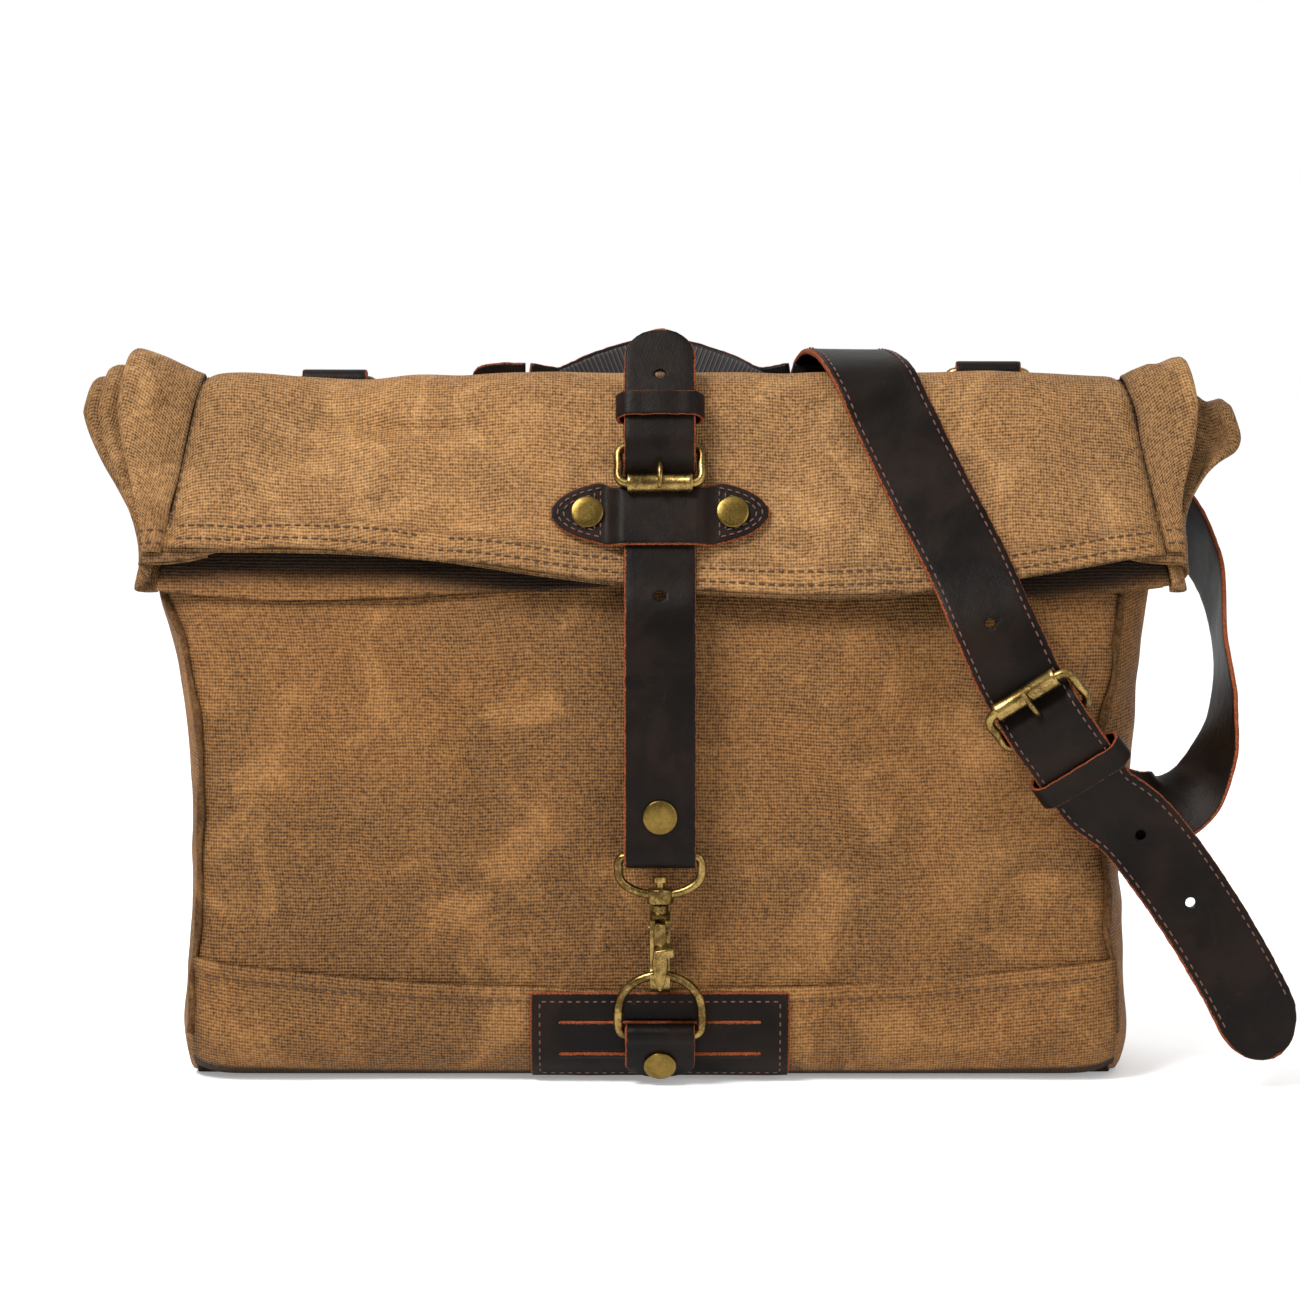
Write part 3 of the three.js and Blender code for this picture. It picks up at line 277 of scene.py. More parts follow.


# The flap canvas is a paler copy of the body canvas, used over the fold, the flap and its ears: partly the
# flap's own paler tone, partly painted light on the flap's upturned face.
BODY_CANVAS = canvas("body_canvas", tone(58, 35, 14), tone(106, 68, 33), tone(180, 129, 75))
FLAP_CANVAS = canvas("flap_canvas", tone(86, 55, 26), tone(132, 90, 49), tone(200, 152, 98))
LINING = plain_cloth("lining_cotton", tone(70, 58, 42), tone(98, 82, 60), 30.0, 0.9)
LEATHER = leather("dark_leather")
BRASS = brass("aged_brass", tone(82, 64, 34), tone(156, 130, 76), 0.03 * MM)
CAP_BRASS = brass("cap_brass", tone(98, 79, 38), tone(124, 101, 50), 0.02 * MM)
WEBBING = webbing("ribbed_webbing")
THREAD_DARK = plain_cloth("dark_thread", tone(48, 30, 16), tone(80, 54, 30), 300.0, 0.7)
THREAD_WINE = plain_cloth("wine_thread", tone(74, 42, 32), tone(104, 66, 50), 300.0, 0.6)
BOARD = plain_cloth("base_board", tone(22, 22, 22), tone(34, 34, 34), 60.0, 0.6)


# ---------- meshes ----------
def make(name, points, faces, material, uvs=None, edge=None):
    """A smooth mesh from points in millimetres."""
    mesh = bpy.data.meshes.new(name)
    mesh.from_pydata((np.asarray(points) * MM).tolist(), [], [list(map(int, f)) for f in faces])
    mesh.materials.append(material)
    if uvs is not None:
        layer = mesh.uv_layers.new(name="UVMap")
        order = np.empty(len(mesh.loops), dtype=np.int32)
        mesh.loops.foreach_get("vertex_index", order)
        layer.data.foreach_set("uv", (np.asarray(uvs)[order] * MM).ravel())
    if edge is not None:
        layer = mesh.attributes.new("raw_edge", "FLOAT", "POINT")
        layer.data.foreach_set("value", np.asarray(edge, dtype=np.float32))
    mesh.polygons.foreach_set("use_smooth", [True] * len(mesh.polygons))
    mesh.update()
    made = bpy.data.objects.new(name, mesh)
    bpy.context.scene.collection.objects.link(made)
    return made


def surface_normals(points):
    du = np.gradient(points, axis=1)
    dv = np.gradient(points, axis=0)
    return unit(np.cross(du, dv))


def cloth_sheet(name, points, thickness, material, shade=None, anchor=0.5):
    """A sheet of even thickness over a grid of points, rows by columns, with rounded rims.

    The face that du x dv points to is the outer one. The weave is straight along the anchor's column.
    """
    rows, cols, _ = points.shape
    normal = surface_normals(points)
    outer = points + normal * thickness / 2
    inner = points - normal * thickness / 2
    along = np.linalg.norm(np.diff(points, axis=1), axis=2)
    down = np.linalg.norm(np.diff(points, axis=0), axis=2)
    u = np.concatenate([np.zeros((rows, 1)), np.cumsum(along, axis=1)], axis=1)
    u = u - u[:, [int(anchor * (cols - 1))]]
    v = np.concatenate([np.zeros((1, cols)), np.cumsum(down, axis=0)], axis=0)
    ids = np.arange(rows * cols).reshape(rows, cols)
    a, b, c, d = ids[:-1, :-1], ids[:-1, 1:], ids[1:, 1:], ids[1:, :-1]
    top = np.stack([a, b, c, d], axis=-1).reshape(-1, 4)
    count = rows * cols
    under = top[:, ::-1] + count
    border = np.concatenate([ids[0, :-1], ids[:-1, -1], ids[-1, :0:-1], ids[:0:-1, 0]])
    flat = points.reshape(-1, 3)
    toward = np.zeros_like(points)
    toward[0] += unit(points[0] - points[1])
    toward[-1] += unit(points[-1] - points[-2])
    toward[:, 0] += unit(points[:, 0] - points[:, 1])
    toward[:, -1] += unit(points[:, -1] - points[:, -2])
    rim = flat[border] + unit(toward.reshape(-1, 3)[border]) * thickness * 0.4
    uv = np.stack([u.ravel(), v.ravel()], axis=1)
    middle = 2 * count + np.arange(len(border))
    following = np.roll(np.arange(len(border)), -1)
    upper = np.stack([border, middle, middle[following], border[following]], axis=1)
    lower = np.stack([middle, border + count, border[following] + count, middle[following]], axis=1)
    verts = np.concatenate([outer.reshape(-1, 3), inner.reshape(-1, 3), rim])
    faces = np.concatenate([top, under, upper, lower])
    uvs = np.concatenate([uv, uv, uv[border]])
    made = make(name, verts, faces, material, uvs, np.zeros(len(verts)))
    if shade is not None:
        dark = np.broadcast_to(shade, (rows, cols)).ravel()
        layer = made.data.attributes.new("shade", "FLOAT", "POINT")
        layer.data.foreach_set("value", np.concatenate([dark, dark, dark[border]]).astype(np.float32))
    return made


def places(rows, cols):
    """u and v of each point of a grid."""
    return np.meshgrid(np.linspace(0, 1, cols), np.linspace(0, 1, rows))


def grid(surface, rows, cols):
    """The points of surface(u, v) for u across and v along, both from 0 to 1."""
    u, v = np.meshgrid(np.linspace(0, 1, cols), np.linspace(0, 1, rows))
    return surface(u, v)


class Track:
    """A smooth path through stations (point, facing), asked for its place at shares of its length."""

    def __init__(self, stations, closed=False):
        knots = np.array([p for p, _ in stations], dtype=float)
        faces = unit(np.array([n for _, n in stations], dtype=float))
        if closed:
            knots = np.concatenate([knots[-1:], knots, knots[:2]])
            faces = np.concatenate([faces[-1:], faces, faces[:2]])
        gaps = np.maximum(np.linalg.norm(np.diff(knots, axis=0), axis=1), 1e-6) ** 0.5
        t = np.concatenate([[0], np.cumsum(gaps)])
        slope = np.gradient(knots, t, axis=0)
        turn = np.gradient(faces, t, axis=0)
        places, facings = [], []
        spans = range(1, len(knots) - 2) if closed else range(len(knots) - 1)
        for k in spans:
            s = np.linspace(0, 1, 24, endpoint=False)[:, None]
            span = t[k + 1] - t[k]
            blend = [2 * s**3 - 3 * s**2 + 1, s**3 - 2 * s**2 + s, -2 * s**3 + 3 * s**2, s**3 - s**2]
            for values, slopes, into in ((knots, slope, places), (faces, turn * 0.6, facings)):
                ends = (values[k], slopes[k] * span, values[k + 1], slopes[k + 1] * span)
                into.append(sum(weight * end for weight, end in zip(blend, ends)))
        if closed:
            places.append(places[0][:1])
            facings.append(facings[0][:1])
        else:
            places.append(knots[-1:])
            facings.append(faces[-1:])
        self.places = np.concatenate(places)
        self.facings = np.concatenate(facings)
        steps = np.linalg.norm(np.diff(self.places, axis=0), axis=1)
        self.travel = np.concatenate([[0], np.cumsum(steps)])
        self.length = self.travel[-1]

    def at(self, share):
        """(place, way along, facing, sideways) at shares of the length."""
        travelled = np.asarray(share, dtype=float) * self.length
        pick = lambda table: np.stack([np.interp(travelled, self.travel, table[:, k]) for k in range(3)],
                                      axis=-1)
        place = pick(self.places)
        step = 0.4
        ahead = np.clip(travelled + step, 0, self.length)
        behind = np.clip(travelled - step, 0, self.length)
        look = lambda where: np.stack([np.interp(where, self.travel, self.places[:, k]) for k in range(3)],
                                      axis=-1)
        way = unit(look(ahead) - look(behind))
        facing = pick(self.facings)
        facing = unit(facing - way * np.sum(facing * way, axis=-1, keepdims=True))
        return place, way, facing, np.cross(way, facing)


# A strap's section, round its edge: across and up, each from -1 to 1, and how raw the leather is there.
FACE = [(a, 1.0, 0.0) for a in (0.9, 0.72, 0.48, 0.24, 0.0, -0.24, -0.48, -0.72, -0.9)]
SIDE = [(-0.972, 0.86, 0.25), (-0.995, 0.45, 1.0), (-1.0, 0.0, 1.0), (-0.995, -0.45, 1.0),
        (-0.972, -0.86, 0.6)]
SECTION = FACE + SIDE + [(-a, -c, e * 0.3) for a, c, e in FACE] + [(-a, -c, e) for a, c, e in SIDE]


def strap(name, stations, width, thickness, material=None, step=1.6, seed=1, wave=0.35,
          cut_ends=(True, True)):
    """A leather strap along stations; width is a number or a function of the share of its length."""
    track = Track(stations)
    share = np.linspace(0, 1, max(int(track.length / step), 8))
    place, way, facing, side = track.at(share)
    wide = width(share) if callable(width) else np.full(len(share), float(width))
    travelled = share * track.length
    ring = len(SECTION)
    points, uvs, edges = [], [], []
    for a, c, raw in SECTION:
        sag = wave * ripple(travelled, np.full(len(share), a * 9.0), 14.0, seed)
        fray = 0.22 * ripple(travelled, np.full(len(share), a * 40.0), 1.9, seed + 3) if abs(a) > 0.95 else 0
        out = (a * wide / 2 + np.sign(a) * fray)[:, None]
        up = (c * thickness / 2 + sag)[:, None]
        points.append(place + side * out + facing * up)
        uvs.append(np.stack([a * wide / 2, travelled], axis=1))
        edges.append(np.full(len(share), raw))
    points = np.stack(points, axis=1).reshape(-1, 3)
    uvs = np.stack(uvs, axis=1).reshape(-1, 2)
    edges = np.stack(edges, axis=1)
    for end, is_cut in zip((0, -1), cut_ends):
        if is_cut:
            edges[end] = 1.0
    ids = np.arange(len(share) * ring).reshape(len(share), ring)
    nxt = np.roll(ids, -1, axis=1)
    faces = np.stack([ids[:-1], nxt[:-1], nxt[1:], ids[1:]], axis=-1).reshape(-1, 4).tolist()
    faces.append(ids[0][::-1].tolist())
    faces.append(ids[-1].tolist())
    made = make(name, points, faces, material or LEATHER, uvs, edges.ravel())
    check_outward(made)
    return made, track, wide


def check_outward(made):
    """Turns a closed mesh's faces outwards if they point in."""
    mesh = made.data
    volume = 0.0
    for face in mesh.polygons:
        corners = [mesh.vertices[i].co for i in face.vertices]
        for k in range(1, len(corners) - 1):
            volume += corners[0].dot(corners[k].cross(corners[k + 1]))
    if volume < 0:
        mesh.flip_normals()


def wire(name, points, radius, material=None, closed=False, step=0.9):
    """Round wire along points; radius is a number or a function of the share of its length."""
    up = unit(np.cross(points[len(points) // 3] - points[0], points[-1] - points[0]) + 1e-6)
    track = Track([(p, up) for p in points], closed)
    count = max(int(track.length / step), 8)
    share = np.linspace(0, 1, count, endpoint=not closed)
    place = track.at(share)[0] * MM
    thick = radius(share) if callable(radius) else np.full(count, float(radius))
    curve = bpy.data.curves.new(name, "CURVE")
    curve.dimensions = "3D"
    curve.bevel_depth = MM
    curve.bevel_resolution = 4
    curve.use_fill_caps = not closed
    line = curve.splines.new("POLY")
    line.points.add(count - 1)
    line.points.foreach_set("co", np.concatenate([place, np.ones((count, 1))], axis=1).ravel())
    line.points.foreach_set("radius", thick)
    line.use_cyclic_u = closed
    made = bpy.data.objects.new(name, curve)
    bpy.context.scene.collection.objects.link(made)
    select_only(made)
    bpy.ops.object.convert(target="MESH")
    made = bpy.context.object
    made.data.materials.append(material or BRASS)
    made.data.polygons.foreach_set("use_smooth", [True] * len(made.data.polygons))
    check_outward(made)
    return made


def stitches(name, place, way, facing, material, length=2.6, gap=1.3, radius=0.34, lift=0.1):
    """A row of thread stitches along places already spaced closely."""
    travel = np.concatenate([[0], np.cumsum(np.linalg.norm(np.diff(place, axis=0), axis=1))])
    count = max(int(travel[-1] / (length + gap)), 1)
    where = (np.arange(count) + 0.5) * travel[-1] / count
    pick = lambda table: np.stack([np.interp(where, travel, table[:, k]) for k in range(3)], axis=-1)
    centre, along, up = pick(place), unit(pick(way)), unit(pick(facing))
    side = np.cross(along, up)
    sides = 6
    stations = [(-0.5, 0.35, -0.7), (-0.36, 0.95, 0.0), (0.0, 1.0, 0.3), (0.36, 0.95, 0.0), (0.5, 0.35, -0.7)]
    angle = np.arange(sides) * 2 * math.pi / sides
    rings = []
    for shift, fat, rise in stations:
        ring = np.cos(angle)[None, :, None] * side[:, None] + np.sin(angle)[None, :, None] * up[:, None]
        middle = centre + along * shift * length + up * (lift + rise * radius)
        rings.append(middle[:, None] + ring * radius * fat)
    points = np.stack(rings, axis=1).reshape(-1, 3)
    one = []
    for k in range(len(stations) - 1):
        for i in range(sides):
            j = (i + 1) % sides
            one.append([k * sides + i, k * sides + j, (k + 1) * sides + j, (k + 1) * sides + i])
    last = (len(stations) - 1) * sides
    caps = [list(range(sides))[::-1], [last + i for i in range(sides)]]
    per = len(stations) * sides
    faces = [[index + n * per for index in face] for n in range(count) for face in one + caps]
    made = make(name, points, faces, material)
    check_outward(made)
    return made


def strap_stitches(name, track, wide, inset, thickness, sides=(-1, 1), start=0.0, end=1.0, material=None):
    """Two rows of stitches, set in from a strap's edges."""
    rows = []
    share = np.linspace(start, end, 400)
    place, way, facing, side = track.at(share)
    span = np.interp(share, np.linspace(0, 1, len(wide)), wide)
    for k, way_out in enumerate(sides):
        row = place + side * (way_out * (span / 2 - inset))[:, None] + facing * thickness / 2
        rows.append(stitches(f"{name}_{k}", row, way, facing, material or THREAD_WINE))
    return rows


def surface_stitches(name, surface, u, v, material, lift=0.75, **sizes):
    """A row of stitches on surface(u, v) along arrays u and v; a negative lift puts it on the other face."""
    step = 1e-3
    place = surface(u, v)
    across = surface(u + step, v) - surface(u - step, v)
    along = surface(u, v + step) - surface(u, v - step)
    facing = unit(np.cross(across, along)) * math.copysign(1, lift)
    way = unit(np.gradient(place, axis=0))
    return stitches(name, place + facing * abs(lift), way, facing, material, lift=0.0, **sizes)


def select_only(made):
    bpy.ops.object.select_all(action="DESELECT")
    made.select_set(True)
    bpy.context.view_layer.objects.active = made


def apply_modifiers(made):
    select_only(made)
    for modifier in list(made.modifiers):
        bpy.ops.object.modifier_apply(modifier=modifier.name)


def settle_place(made):
    """Puts an object's place into its mesh."""
    select_only(made)
    bpy.ops.object.transform_apply(location=True, rotation=True, scale=True)


def basis(along, up):
    """Rotation matrix whose columns are side, along and up."""
    along, up = unit(along), unit(up)
    side = unit(np.cross(along, up))
    return np.stack([side, along, np.cross(side, along)], axis=1)


def moved(made, matrix, origin):
    """Turns and moves a mesh that was made about the origin; origin in millimetres."""
    mesh = made.data
    count = len(mesh.vertices)
    places = np.empty(count * 3)
    mesh.vertices.foreach_get("co", places)
    places = places.reshape(-1, 3) @ np.asarray(matrix).T + np.asarray(origin) * MM
    mesh.vertices.foreach_set("co", places.ravel())
    mesh.update()
    return made


def punch(made, holes, radius=2.1, depth=12):
    """Cuts round holes through a strap; holes are (point, direction)."""
    for point, direction in holes:
        bpy.ops.object.select_all(action="DESELECT")
        bpy.ops.mesh.primitive_cylinder_add(vertices=20, radius=radius * MM, depth=depth * MM)
        peg = bpy.context.object
        settle_place(peg)
        up = unit(direction)
        aside = vec(1, 0, 0) if abs(up[0]) < 0.9 else vec(0, 1, 0)
        moved(peg, basis(np.cross(up, aside), up), point)
        hole = made.modifiers.new("hole", "BOOLEAN")
        hole.object = peg
        hole.operation = "DIFFERENCE"
        hole.solver = "EXACT"
        apply_modifiers(made)
        bpy.data.objects.remove(peg)
    return made


def belongs(made, body, nodes=()):
    """The piece rides on a body and hides the CAD nodes it stands for."""
    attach(made, body)
    if nodes:
        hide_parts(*nodes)
    return made


# ---------- camera ----------
VIEW_DISTANCE = 1600
VIEW_DOWN = math.radians(6)
LOOK_AT = vec(-4, -45, 176)
camera_data = bpy.data.cameras.new("camera")
camera_data.lens = 36 * VIEW_DISTANCE / 520
camera_data.sensor_width = 36
camera = bpy.data.objects.new("camera", camera_data)
bpy.context.scene.collection.objects.link(camera)
away = vec(0, -math.cos(VIEW_DOWN), math.sin(VIEW_DOWN)) * VIEW_DISTANCE
camera.location = ((LOOK_AT + away) * MM).tolist()
camera.rotation_euler = (math.radians(90) - VIEW_DOWN, 0, 0)
bpy.context.scene.camera = camera

# ---------- the shape of the bag ----------
FOLD_Y, FOLD_Z = -8.0, 268.0  # the line the top folds over
FOLD_OUTER = 17.0
FLAP_SLOPE = math.radians(22)
BACK_SLOPE = math.radians(27)
ARC = FOLD_OUTER * (math.pi - FLAP_SLOPE - BACK_SLOPE)  # cloth in the fold
LAYER_GAP = 12.0  # from the flap's outer layer to its inner one
FLAP_DOWN = vec(0, -math.sin(FLAP_SLOPE), -math.cos(FLAP_SLOPE))
FLAP_OUT = vec(0, -math.cos(FLAP_SLOPE), math.sin(FLAP_SLOPE))

front_heights = [28, 55, 90, 130, 165, 195, 225, 250, 266]
front_depths = [-46.1, -46.4, -46.6, -46.3, -44.2, -38.5, -27, -12.6, -3.5]
back_heights = [28, 55, 90, 130, 165, 195, 225, 250, 275.7]
back_depths = [46.1, 46.4, 46.6, 46.4, 44.8, 40.2, 31, 20.4, 7.1]


def smooth_table(x, xs, ys):
    """A smooth curve through a short list of places."""
    xs, ys = np.asarray(xs, dtype=float), np.asarray(ys, dtype=float)
    slope = np.gradient(ys, xs)
    x = np.clip(x, xs[0], xs[-1])
    k = np.clip(np.searchsorted(xs, x, side="right") - 1, 0, len(xs) - 2)
    span = xs[k + 1] - xs[k]
    s = (x - xs[k]) / span
    start = (2 * s**3 - 3 * s**2 + 1) * ys[k] + (s**3 - 2 * s**2 + s) * span * slope[k]
    end = (-2 * s**3 + 3 * s**2) * ys[k + 1] + (s**3 - s**2) * span * slope[k + 1]
    return start + end


def front_y(z):
    return smooth_table(z, front_heights, front_depths)


def back_y(z):
    return smooth_table(z, back_heights, back_depths)


def seam_x(side, z):
    """Where the front and back panels are sewn to the gusset."""
    pull = 1.3 * ripple(z, np.asarray(z) * 0 + side * 9, 17, 3)
    if side < 0:
        return pull - smooth_table(z, [0, 20, 60, 120, 156, 178, 200, 270],
                                   [190, 190, 186, 184.5, 186.5, 191, 199, 196])
    return pull + smooth_table(z, [0, 30, 60, 96, 120, 190, 270], [186, 183, 181, 177.5, 176, 185, 190])


def side_x(side, z):
    """How far the side stands out."""
    if side < 0:
        return -smooth_table(z, [0, 14, 40, 76, 140, 176, 200, 232, 262],
                             [189, 194, 193, 191, 192, 198, 204, 214, 224])
    return smooth_table(z, [0, 14, 40, 76, 140, 190, 205, 232, 262],
                        [187, 191, 190, 188, 193, 199, 202, 212, 224])


def fold_point(x, s, o):
    """A point of the folded top: s runs down the flap from the fold, negative behind it; o is outwards."""
    radius = FOLD_OUTER + o
    angle = math.pi - FLAP_SLOPE + np.minimum(s, 0) / FOLD_OUTER
    down = np.maximum(s, 0)
    y = FOLD_Y + radius * np.cos(angle) + FLAP_DOWN[1] * down
    z = FOLD_Z + radius * np.sin(angle) + FLAP_DOWN[2] * down
    return np.stack([np.broadcast_to(x, y.shape), y, z], axis=-1)


# ---------- body panels ----------
def creases(x, z, lines):
    """Soft folds of cloth: each line is (x0, z0, x1, z1, width, height)."""
    total = np.zeros(np.shape(x))
    for x0, z0, x1, z1, width, height in lines:
        dx, dz = x1 - x0, z1 - z0
        span = math.hypot(dx, dz)
        along = ((x - x0) * dx + (z - z0) * dz) / span
        off = ((x - x0) * dz - (z - z0) * dx) / span
        off = off + 3 * np.sin(along / 21.0)
        fade = ease(along, -0.15 * span, 0.2 * span) * (1 - ease(along, 0.8 * span, 1.15 * span))
        total += height * np.exp(-((off / width) ** 2)) * fade
    return total


FRONT_CREASES = [
    (-150, 190, -105, 90, 10, 1.8),
    (-120, 175, -60, 120, 9, -1.6),
    (-100, 150, -70, 60, 12, 1.5),
    (60, 170, 105, 60, 12, 1.8),
    (45, 130, 90, 80, 9, -1.4),
    (150, 175, 110, 70, 12, 1.6),
    (-175, 150, -130, 60, 10, 1.2),
    (165, 120, 130, 45, 10, -1.2),
    (-60, 110, 20, 70, 12, 0.9),
]


def body_wall(side):
    """The front (-1) or back (1) panel as a surface: u from left to right, v from the bottom up."""
    depth = front_y if side < 0 else back_y

    def surface(u, v):
        z = 22 + v * 240
        left, right = seam_x(-1, z), seam_x(1, z)
        x = lerp(left, right, u)
        reach = np.minimum(x - left, right - x)
        turn = 5.0 * np.exp(-((np.maximum(reach, 0) / 4.5) ** 1.2))
        soft = 1 - np.exp(-((np.maximum(reach, 0) / 22) ** 2))
        low = ease(z, 20, 60) * (1 - 0.82 * ease(z, 172, 206)) * (1 - ease(z, 220, 250))
        swell = 2.2 * np.sin(np.clip(u, 0, 1) * math.pi) * np.sin(np.clip(v * 1.15, 0, 1) * math.pi)
        lumps = 3.2 * ripple(x, z, 44, 5 + side) + 1.9 * ripple(x + z * 0.6, z, 22, 8 + side)
        folds = 1.9 * creases(x if side < 0 else -x, z, FRONT_CREASES)
        # The canvas lies flat behind the hook, so the hook can swivel clear of it.
        low = low * (1 - 0.85 * np.exp(-((x / 24) ** 2)) * (1 - ease(z, 90, 125)))
        pucker = 0.35 * ripple(z, x * 0.15, 6.5, 12) * np.exp(-reach / 14)
        y = depth(z) - side * turn + side * (soft * low * (swell + lumps + folds) + pucker)
        return np.stack([x, y, z], axis=-1)

    return surface


front_wall = body_wall(-1)
back_wall = body_wall(1)


def wall_shade(rows, cols):
    """Painted shade in the seams and under the flap; the cloth is also darker towards the foot."""
    u, v = places(rows, cols)
    reach = np.minimum(u, 1 - u) * 370
    return 0.55 * np.exp(-reach / 2.2) + 0.14 * np.exp(-v * 240 / 30) + 0.12 * ease(v, 0.6, 0.82)


front_panel = cloth_sheet("front_canvas", grid(front_wall, 150, 230), 1.4, BODY_CANVAS, wall_shade(150, 230))
back_points = grid(lambda u, v: back_wall(1 - u, v), 110, 160)
back_panel = cloth_sheet("back_canvas", back_points, 1.4, BODY_CANVAS, wall_shade(110, 160))
belongs(front_panel, "bag_body", ["front_panel"])
belongs(back_panel, "bag_body", ["back_panel"])


def gusset_surface(side):
    """One side of the bag, u from the front seam to the back one, v from the bottom up."""

    def surface(u, v):
        z = 2.5 + v * 259
        seam = seam_x(side, z)
        reach = side_x(side, z) - seam
        low = np.sqrt(np.clip(1 - (np.clip(26 - z, 0, 24) / 24) ** 2, 0, 1))
        front = (front_y(z) + 4.5) * lerp(0.56, 1, low)
        back = (back_y(z) - 4.5) * lerp(0.56, 1, low)
        power = lerp(3.6, 1.5, ease(z, 120, 262))
        bulge = 1 - np.abs(2 * u - 1) ** power
        tuck = -5.5 * np.exp(-(((u - 0.5) / 0.13) ** 2)) * ease(z, 60, 170) * (1 - ease(z, 200, 240))
        ridge = 1.6 * (np.exp(-((u / 0.025) ** 2)) + np.exp(-(((1 - u) / 0.025) ** 2)))
        lumps = 1.3 * ripple(u * 95, z, 26, 40 + side) + 0.6 * ripple(u * 95, z, 11, 50 + side)
        folds = side * (tuck + lumps * np.sin(np.clip(u, 0, 1) * math.pi))
        x = seam + reach * bulge + folds - side * ridge
        return np.stack([x, lerp(front, back, u), z], axis=-1)

    return surface


gussets = {}
for label, side in (("left", -1), ("right", 1)):
    shape = gusset_surface(side)
    turn = (lambda u, v, f=shape: f(1 - u, v)) if side < 0 else shape
    gusset = cloth_sheet(f"gusset_canvas_{label}", grid(turn, 110, 60), 1.4, BODY_CANVAS)
    belongs(gusset, "bag_body", [f"gusset_{label}"])
    gussets[label] = shape

for label, side in (("left", -1), ("right", 1)):
    for wall, depth, face in (("front", front_y, -1), ("back", back_y, 1)):
        z = np.linspace(20, 262, 60)
        ridge = np.stack([seam_x(side, z) + side * 0.6, depth(z) - face * (3.2 + 0.5 * np.sin(z / 9)), z],
                         axis=-1)
        cord = wire(f"seam_ridge_{wall}_{label}", ridge, lambda b: 1.5 + 0.35 * np.sin(b * 40), BODY_CANVAS,
                    step=1.6)
        belongs(cord, "bag_body")

# ---------- the boot ----------
BOOT_CORNER = 24.0
BOOT_FLAT = 25.0


def boot_top(x):
    return 38 + 13 * np.abs(x / 187) ** 2.3 + 0.9 * ripple(x, x * 0, 40, 61)


def boot_surface(u, v):
    """The reinforced base, from its seam on the front, under the bag, to its seam at the back."""
    x = lerp(-188.5, 183.5, u)
    rise = boot_top(x) - BOOT_CORNER
    radius = BOOT_CORNER - 0.2
    turn = radius * math.pi / 2
    x = x + 1.1 * ripple(v * 60, u * 0 + np.sign(u - 0.5) * 3, 7, 66) * np.abs(2 * u - 1) ** 8
    half = rise + turn + BOOT_FLAT
    travelled = np.abs(v - 0.5) * 2 * half
    side = np.where(v < 0.5, -1.0, 1.0)
    around = np.clip((travelled - BOOT_FLAT) / radius, 0, math.pi / 2)
    up = np.maximum(travelled - BOOT_FLAT - turn, 0)
    flat = np.minimum(travelled, BOOT_FLAT)
    y = side * (flat + radius * np.sin(around))
    z = 0.8 + BOOT_CORNER - 0.2 - radius * np.cos(around) + up
    lumps = 1.5 * ripple(x, travelled, 34, 71) + 0.7 * ripple(x, travelled, 12, 72)
    lumps = lumps * ease(travelled, 34, 60)
    edge = np.minimum(x + 188.5, 183.5 - x)
    close = 5.5 * np.exp(-((np.maximum(edge, 0) / 6) ** 1.3))
    hem = 0.9 * np.exp(-(((half - travelled) - 3.2) / 2.6) ** 2)
    out = lumps + hem - close
    y = y + side * np.sin(around) * out
    z = z - np.cos(around) * np.where(around > 0.01, out * 0.6, -close * 0.0)
    return np.stack([x, y, np.maximum(z, 0.75)], axis=-1)


u_boot, v_boot = places(120, 190)
# Painted shade: the boot's underside, where it meets the floor, is painted near black, and the cloth is
# painted darker at its side seams.
underside_painted_shade = 1 - ease(np.abs(v_boot - 0.5), 0.23, 0.25)
boot_edge = np.minimum(u_boot, 1 - u_boot) * 372
boot_painted_shade = np.clip(0.85 * underside_painted_shade + 0.5 * np.exp(-boot_edge / 2.4), 0, 0.95)
boot = cloth_sheet("boot_canvas", grid(lambda u, v: boot_surface(1 - u, v), 120, 190), 1.4, BODY_CANVAS,
                   boot_painted_shade)
belongs(boot, "bag_body", ["base_boot"])
span = np.linspace(0.012, 0.988, 700)
for k, near in enumerate((0.032, 0.968)):
    line = surface_stitches(f"boot_stitches_{k}", boot_surface, span, np.full(700, near), THREAD_DARK,
                            lift=-0.85)
    belongs(line, "bag_body")

# ---------- the folded top and the flap ----------
def flap_edge(side, s):
    """The flap's side seam."""
    return side * lerp(189.5, 200.5, np.clip(s / 62, -0.3, 1.2)) + 1.5


def hem_length(x):
    """Length of the outer layer below the fold."""
    return smooth_table(x, [-205, -105, -20, 20, 95, 145, 205], [61, 63.5, 75, 79, 79.5, 72, 61])


